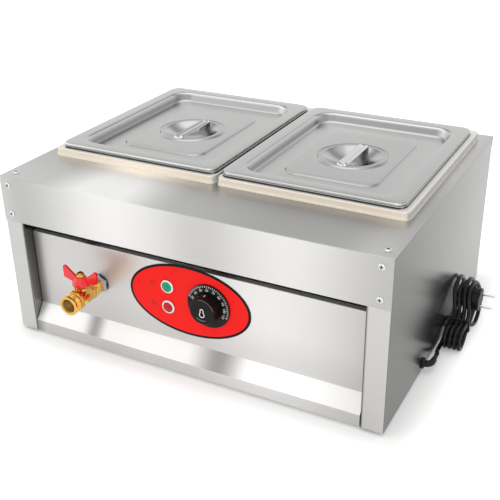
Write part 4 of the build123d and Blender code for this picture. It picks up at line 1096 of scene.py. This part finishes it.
hankLean = math.asin(
    max((eye - hankShape["fold"]) / length for eye, length in zip(hankShape["eyes"], hankShape["lengths"]))
)
hankAlong = Vector((0, math.cos(hankLean), math.sin(hankLean)))
hankAcross = Vector((0, -math.sin(hankLean), math.cos(hankLean)))
foldCentre = fromCorner(cordShape["route"][-1]) + Vector((0, cordShape["diameter"], hankShape["fold"]))


def inHank(u, v, layer):
    return foldCentre + hankAlong * u + hankAcross * v + Vector((layer * hankShape["pitch"], 0, 0))


# The two control points of a run that leaves and arrives along the hank
def runPoints(start, end, along):
    chord = end - start
    reach = chord.length_squared / (4 * chord.dot(along))
    return [start + along * reach, end - along * reach]


# Four control points round the end of a loop, from -across to +across, the first ones pushed out by fan
def halfCircle(centre, radius, along, across, fan=0):
    short = radius * math.tan(math.pi / 8)
    outward = Vector((fan, 0, 0))
    return [
        centre + along * short - across * radius + outward,
        centre + along * radius - across * short + outward * 0.75,
        centre + along * radius + across * short + outward * 0.25,
        centre + along * short + across * radius,
    ]


def hankPoints():
    shape = hankShape
    fold, waist, waistAt = shape["fold"], shape["waist"], shape["waistAt"]
    entry = cordShape["diameter"] + fold * math.tan(hankLean / 2)
    points = [fromCorner(cordShape["route"][-1]) + Vector((0, entry, 0))]
    for layer, (eye, length, fan) in enumerate(zip(shape["eyes"], shape["lengths"], shape["fan"])):
        lowerEnd = inHank(length, -eye, layer) + Vector((fan, 0, 0))
        points += runPoints(inHank(0, -fold, layer), inHank(waistAt, -waist, layer), hankAlong)
        points += runPoints(inHank(waistAt, -waist, layer), lowerEnd, hankAlong)
        points += halfCircle(inHank(length, 0, layer), eye, hankAlong, hankAcross, fan)
        points += runPoints(inHank(length, eye, layer), inHank(waistAt, waist, layer + 1), -hankAlong)
        points += runPoints(inHank(waistAt, waist, layer + 1), inHank(0, fold, layer + 1), -hankAlong)
        points += halfCircle(inHank(0, 0, layer + 1), fold, -hankAlong, -hankAcross)
    # The last run turns up a little, into the plug
    last = len(shape["eyes"])
    points += runPoints(inHank(0, -fold, last), inHank(waistAt, -waist, last), hankAlong)
    reach = shape["plugBend"] * math.tan(shape["plugTurn"] / 2)
    far = reach + shape["plugLead"]
    points.append(inHank(waistAt + reach, -waist, last))
    points.append(inHank(
        waistAt + reach + far * math.cos(shape["plugTurn"]), -waist + far * math.sin(shape["plugTurn"]), last,
    ))
    return points


def buildCord():
    points = [fromCorner(point) for point in cordShape["route"]] + hankPoints()
    curve = bpy.data.curves.new("powerCordCurve", "CURVE")
    curve.dimensions = "3D"
    curve.bevel_depth = cordShape["diameter"] / 2
    curve.bevel_resolution = cordShape["roundSteps"]
    curve.use_fill_caps = True
    spline = curve.splines.new("NURBS")
    spline.points.add(len(points) - 1)
    for slot, point in zip(spline.points, points):
        slot.co = (*point, 1)
    spline.order_u = 3
    spline.use_endpoint_u = True
    spline.resolution_u = cordShape["runSteps"]
    curve.materials.append(looks["cord"])
    cord = addObject("power_cord_flex", curve)
    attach(cord, "case")
    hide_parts("power_cord", "power_cord_hank")
    return cord


bootShape = {
    "flangeRadius": 0.0080,
    "flange": 0.0030,
    "flangeEdge": (0.75, 0.9),      # shares of its depth and radius where the edge is taken off
    "root": 0.001,           # how far the flange reaches into the panel
    "bend": 0.0090,
    "tail": 0.0060,
    "startRadius": 0.0054,
    "endRadius": 0.0041,
    "ribs": 7,
    "ribDepth": 0.0006,
    "stepsPerRib": 6,
    "sides": 28,
}


# Flange on the panel and a ribbed, tapering sleeve that bends to the rear
def buildBoot():
    shape = bootShape
    start = fromCorner(cordShape["exit"])
    startRadius, flangeRadius, flange, bend = [shape[key] for key in ("startRadius", "flangeRadius", "flange", "bend")]
    profile = [(-shape["root"], startRadius), (0, startRadius), (0, flangeRadius)]
    edgeDepth, edgeRadius = shape["flangeEdge"]
    profile += [(flange * edgeDepth, flangeRadius), (flange, flangeRadius * edgeRadius)]
    bm = bmesh.new()
    lathe(bm, start, xAxis, profile, count=40)
    arcLength = bend * math.pi / 2
    total = arcLength + shape["tail"]
    bendCentre = start + xAxis * flange + yAxis * bend
    steps = shape["ribs"] * shape["stepsPerRib"]
    rings = []
    for i in range(steps + 1):
        run = total * i / steps
        angle = min(run, arcLength) / bend
        tangent = xAxis * math.cos(angle) + yAxis * math.sin(angle)
        middle = bendCentre + (xAxis * math.sin(angle) - yAxis * math.cos(angle)) * bend
        middle += yAxis * max(0, run - arcLength)
        radius = startRadius + (shape["endRadius"] - startRadius) * run / total
        groove = 0.5 - 0.5 * math.cos(2 * math.pi * i / shape["stepsPerRib"])
        radius -= shape["ribDepth"] * groove if 0 < i < steps else 0
        rings.append(circle(middle, tangent.cross(zAxis), zAxis, radius, shape["sides"]))
    joinRings(bm, rings)
    return addPiece("cord_boot", bm, "cord", "case", ["cord_gland"])


tieShape = {
    "thickness": 0.0012,
    "width": 0.004,
    "gap": 0.0003,
    "section": [      # share of the width, share of the thickness
        (-0.5, 0.15), (-0.42, 0.8), (-0.25, 1), (0.25, 1), (0.42, 0.8), (0.5, 0.15), (0.3, 0), (-0.3, 0),
    ],
    "cornerSteps": 6,
}


# Flat band round the waist of the hank, rounded across its width
def buildTie():
    shape = tieShape
    layers = len(hankShape["eyes"]) * hankShape["pitch"]
    reach = cordShape["diameter"] / 2 + shape["gap"]
    middle = inHank(hankShape["waistAt"], 0, len(hankShape["eyes"]) / 2)
    origin = Vector((0, 0, 0))
    rings = []
    for widthShare, outShare in shape["section"]:
        out = reach + shape["thickness"] * outShare
        flat = roundedRing(origin, layers / 2 + out, hankShape["waist"] + out, out, 0, shape["cornerSteps"])
        shifted = middle + hankAlong * widthShare * shape["width"]
        rings.append([shifted + xAxis * point.x + hankAcross * point.y for point in flat])
    bm = bmesh.new()
    joinRings(bm, rings, loop=True)
    return addPiece("cord_tie_band", bm, "plug", "case", ["cord_tie"])


cord = buildCord()
boot = buildBoot()
tie = buildTie()
print("cord laid")


studio = {
    "floorSize": 12.0,
    "floorColour": (0.88, 0.88, 0.88),
    "floorLift": (0.19, 0.66),      # near the object and past the fade, to the camera alone
    "floorShine": 0.14,             # and to what the metal mirrors
    "floorFade": (0.0, 0.08),       # past the object's edge, where the floor turns pure white
    "worldStrength": 1.10,
    # height, level
    "worldStops": [(0.0, 0.95), (0.12, 1.0), (0.46, 0.96), (0.63, 0.36), (0.74, 0.50), (0.90, 0.95)],
    "worldWarmth": 0.99,            # blue, as a share of red and green
    "lamps": [
        # name, place, size, power, colour
        ("topSoftbox", (-0.5, -0.2, 2.4), 2.6, 11, (1, 0.99, 0.98)),
        ("leftSoftbox", (-2.4, -1.2, 1.3), 2.2, 6, (1, 1, 1)),
        ("frontSoftbox", (0.9, -2.8, 1.4), 2.2, 8, (1, 0.995, 0.99)),
    ],
    "target": (0, 0, 0.14),
}


def buildFloor():
    half = studio["floorSize"] / 2
    mesh = bpy.data.meshes.new("floorMesh")
    mesh.from_pydata([(-half, -half, 0), (half, -half, 0), (half, half, 0), (-half, half, 0)], [], [(0, 1, 2, 3)])
    finish = {"Roughness": 0.9, "Specular IOR Level": 0}
    material, tree, surface = newMaterial("floorWhite", studio["floorColour"], finish)
    footprint = placeAround(tree, (0, (caseFront + caseBack) / 2, 0))
    folded = vectorMaths(tree, "ABSOLUTE", footprint)["Vector"]
    outside = vectorMaths(tree, "SUBTRACT", folded, (halfCase, (caseBack - caseFront) / 2, 0))["Vector"]
    parts = addNode(tree, "SeparateXYZ", {"Vector": outside}).outputs
    distance = maths(tree, "MAXIMUM", parts["X"], parts["Y"])
    fade = softStep(tree, distance, *studio["floorFade"], *studio["floorLift"])
    rays = addNode(tree, "LightPath", {}).outputs
    lift = maths(tree, "MULTIPLY", rays["Is Camera Ray"], fade)
    shine = maths(tree, "MULTIPLY_ADD", rays["Is Glossy Ray"], studio["floorShine"], lift)
    glow = addNode(tree, "Emission", {"Strength": shine})
    both = addNode(tree, "AddShader", {0: surface.outputs["BSDF"], 1: glow.outputs["Emission"]})
    feed(tree, tree.nodes["Material Output"], {"Surface": both.outputs["Shader"]})
    mesh.materials.append(material)
    addObject("floor", mesh)


# White to the camera, a soft studio gradient in the metal
def buildWorld():
    world = bpy.data.worlds.new("studio")
    bpy.context.scene.world = world
    world.use_nodes = True
    tree = world.node_tree
    coords = addNode(tree, "TexCoord", {}).outputs["Generated"]
    parts = addNode(tree, "SeparateXYZ", {"Vector": coords}).outputs
    height = addNode(tree, "ValToRGB", {"Fac": parts["Z"]})
    elements = height.color_ramp.elements
    while len(elements) < len(studio["worldStops"]):
        elements.new(0.5)
    for element, (position, value) in zip(elements, studio["worldStops"]):
        element.position = position
        element.color = (value, value, value * studio["worldWarmth"], 1)
    rays = addNode(tree, "LightPath", {}).outputs
    inputs = {"Factor": rays["Is Camera Ray"], "A": height.outputs["Color"], "B": (1, 1, 1, 1)}
    pick = addNode(tree, "Mix", inputs, data_type="RGBA")
    shiny = maths(tree, "MAXIMUM", rays["Is Camera Ray"], rays["Is Glossy Ray"])
    strength = addNode(tree, "MapRange", {"Value": shiny, "To Min": studio["worldStrength"], "To Max": 1})
    background = {"Color": pick.outputs["Result"], "Strength": strength.outputs["Result"]}
    feed(tree, tree.nodes["Background"], background)


def buildLamps():
    for name, place, size, power, colour in studio["lamps"]:
        lamp = bpy.data.lights.new(name, "AREA")
        lamp.size = size
        lamp.energy = power
        lamp.color = colour
        item = addObject(name, lamp)
        item.location = place
        item.rotation_euler = (Vector(studio["target"]) - Vector(place)).to_track_quat("-Z", "Y").to_euler()


view = {
    "place": (0.5561, -1.0425, 0.7081),
    "turn": (63.4, 0.9, 27.8),
    "lens": 61.7,
    "sensor": 36,
    "nearest": 0.01,
    "shift": (0.004, -0.010),
}


def buildCamera():
    camera = bpy.data.cameras.new("camera")
    camera.lens = view["lens"]
    camera.sensor_width = view["sensor"]
    camera.sensor_fit = "HORIZONTAL"
    camera.shift_x, camera.shift_y = view["shift"]
    camera.clip_start = view["nearest"]
    item = addObject("camera", camera)
    item.location = view["place"]
    item.rotation_euler = [math.radians(angle) for angle in view["turn"]]
    bpy.context.scene.camera = item


buildFloor()
buildWorld()
buildLamps()
buildCamera()
bpy.context.scene.view_settings.view_transform = "Standard"
print("studio ready")
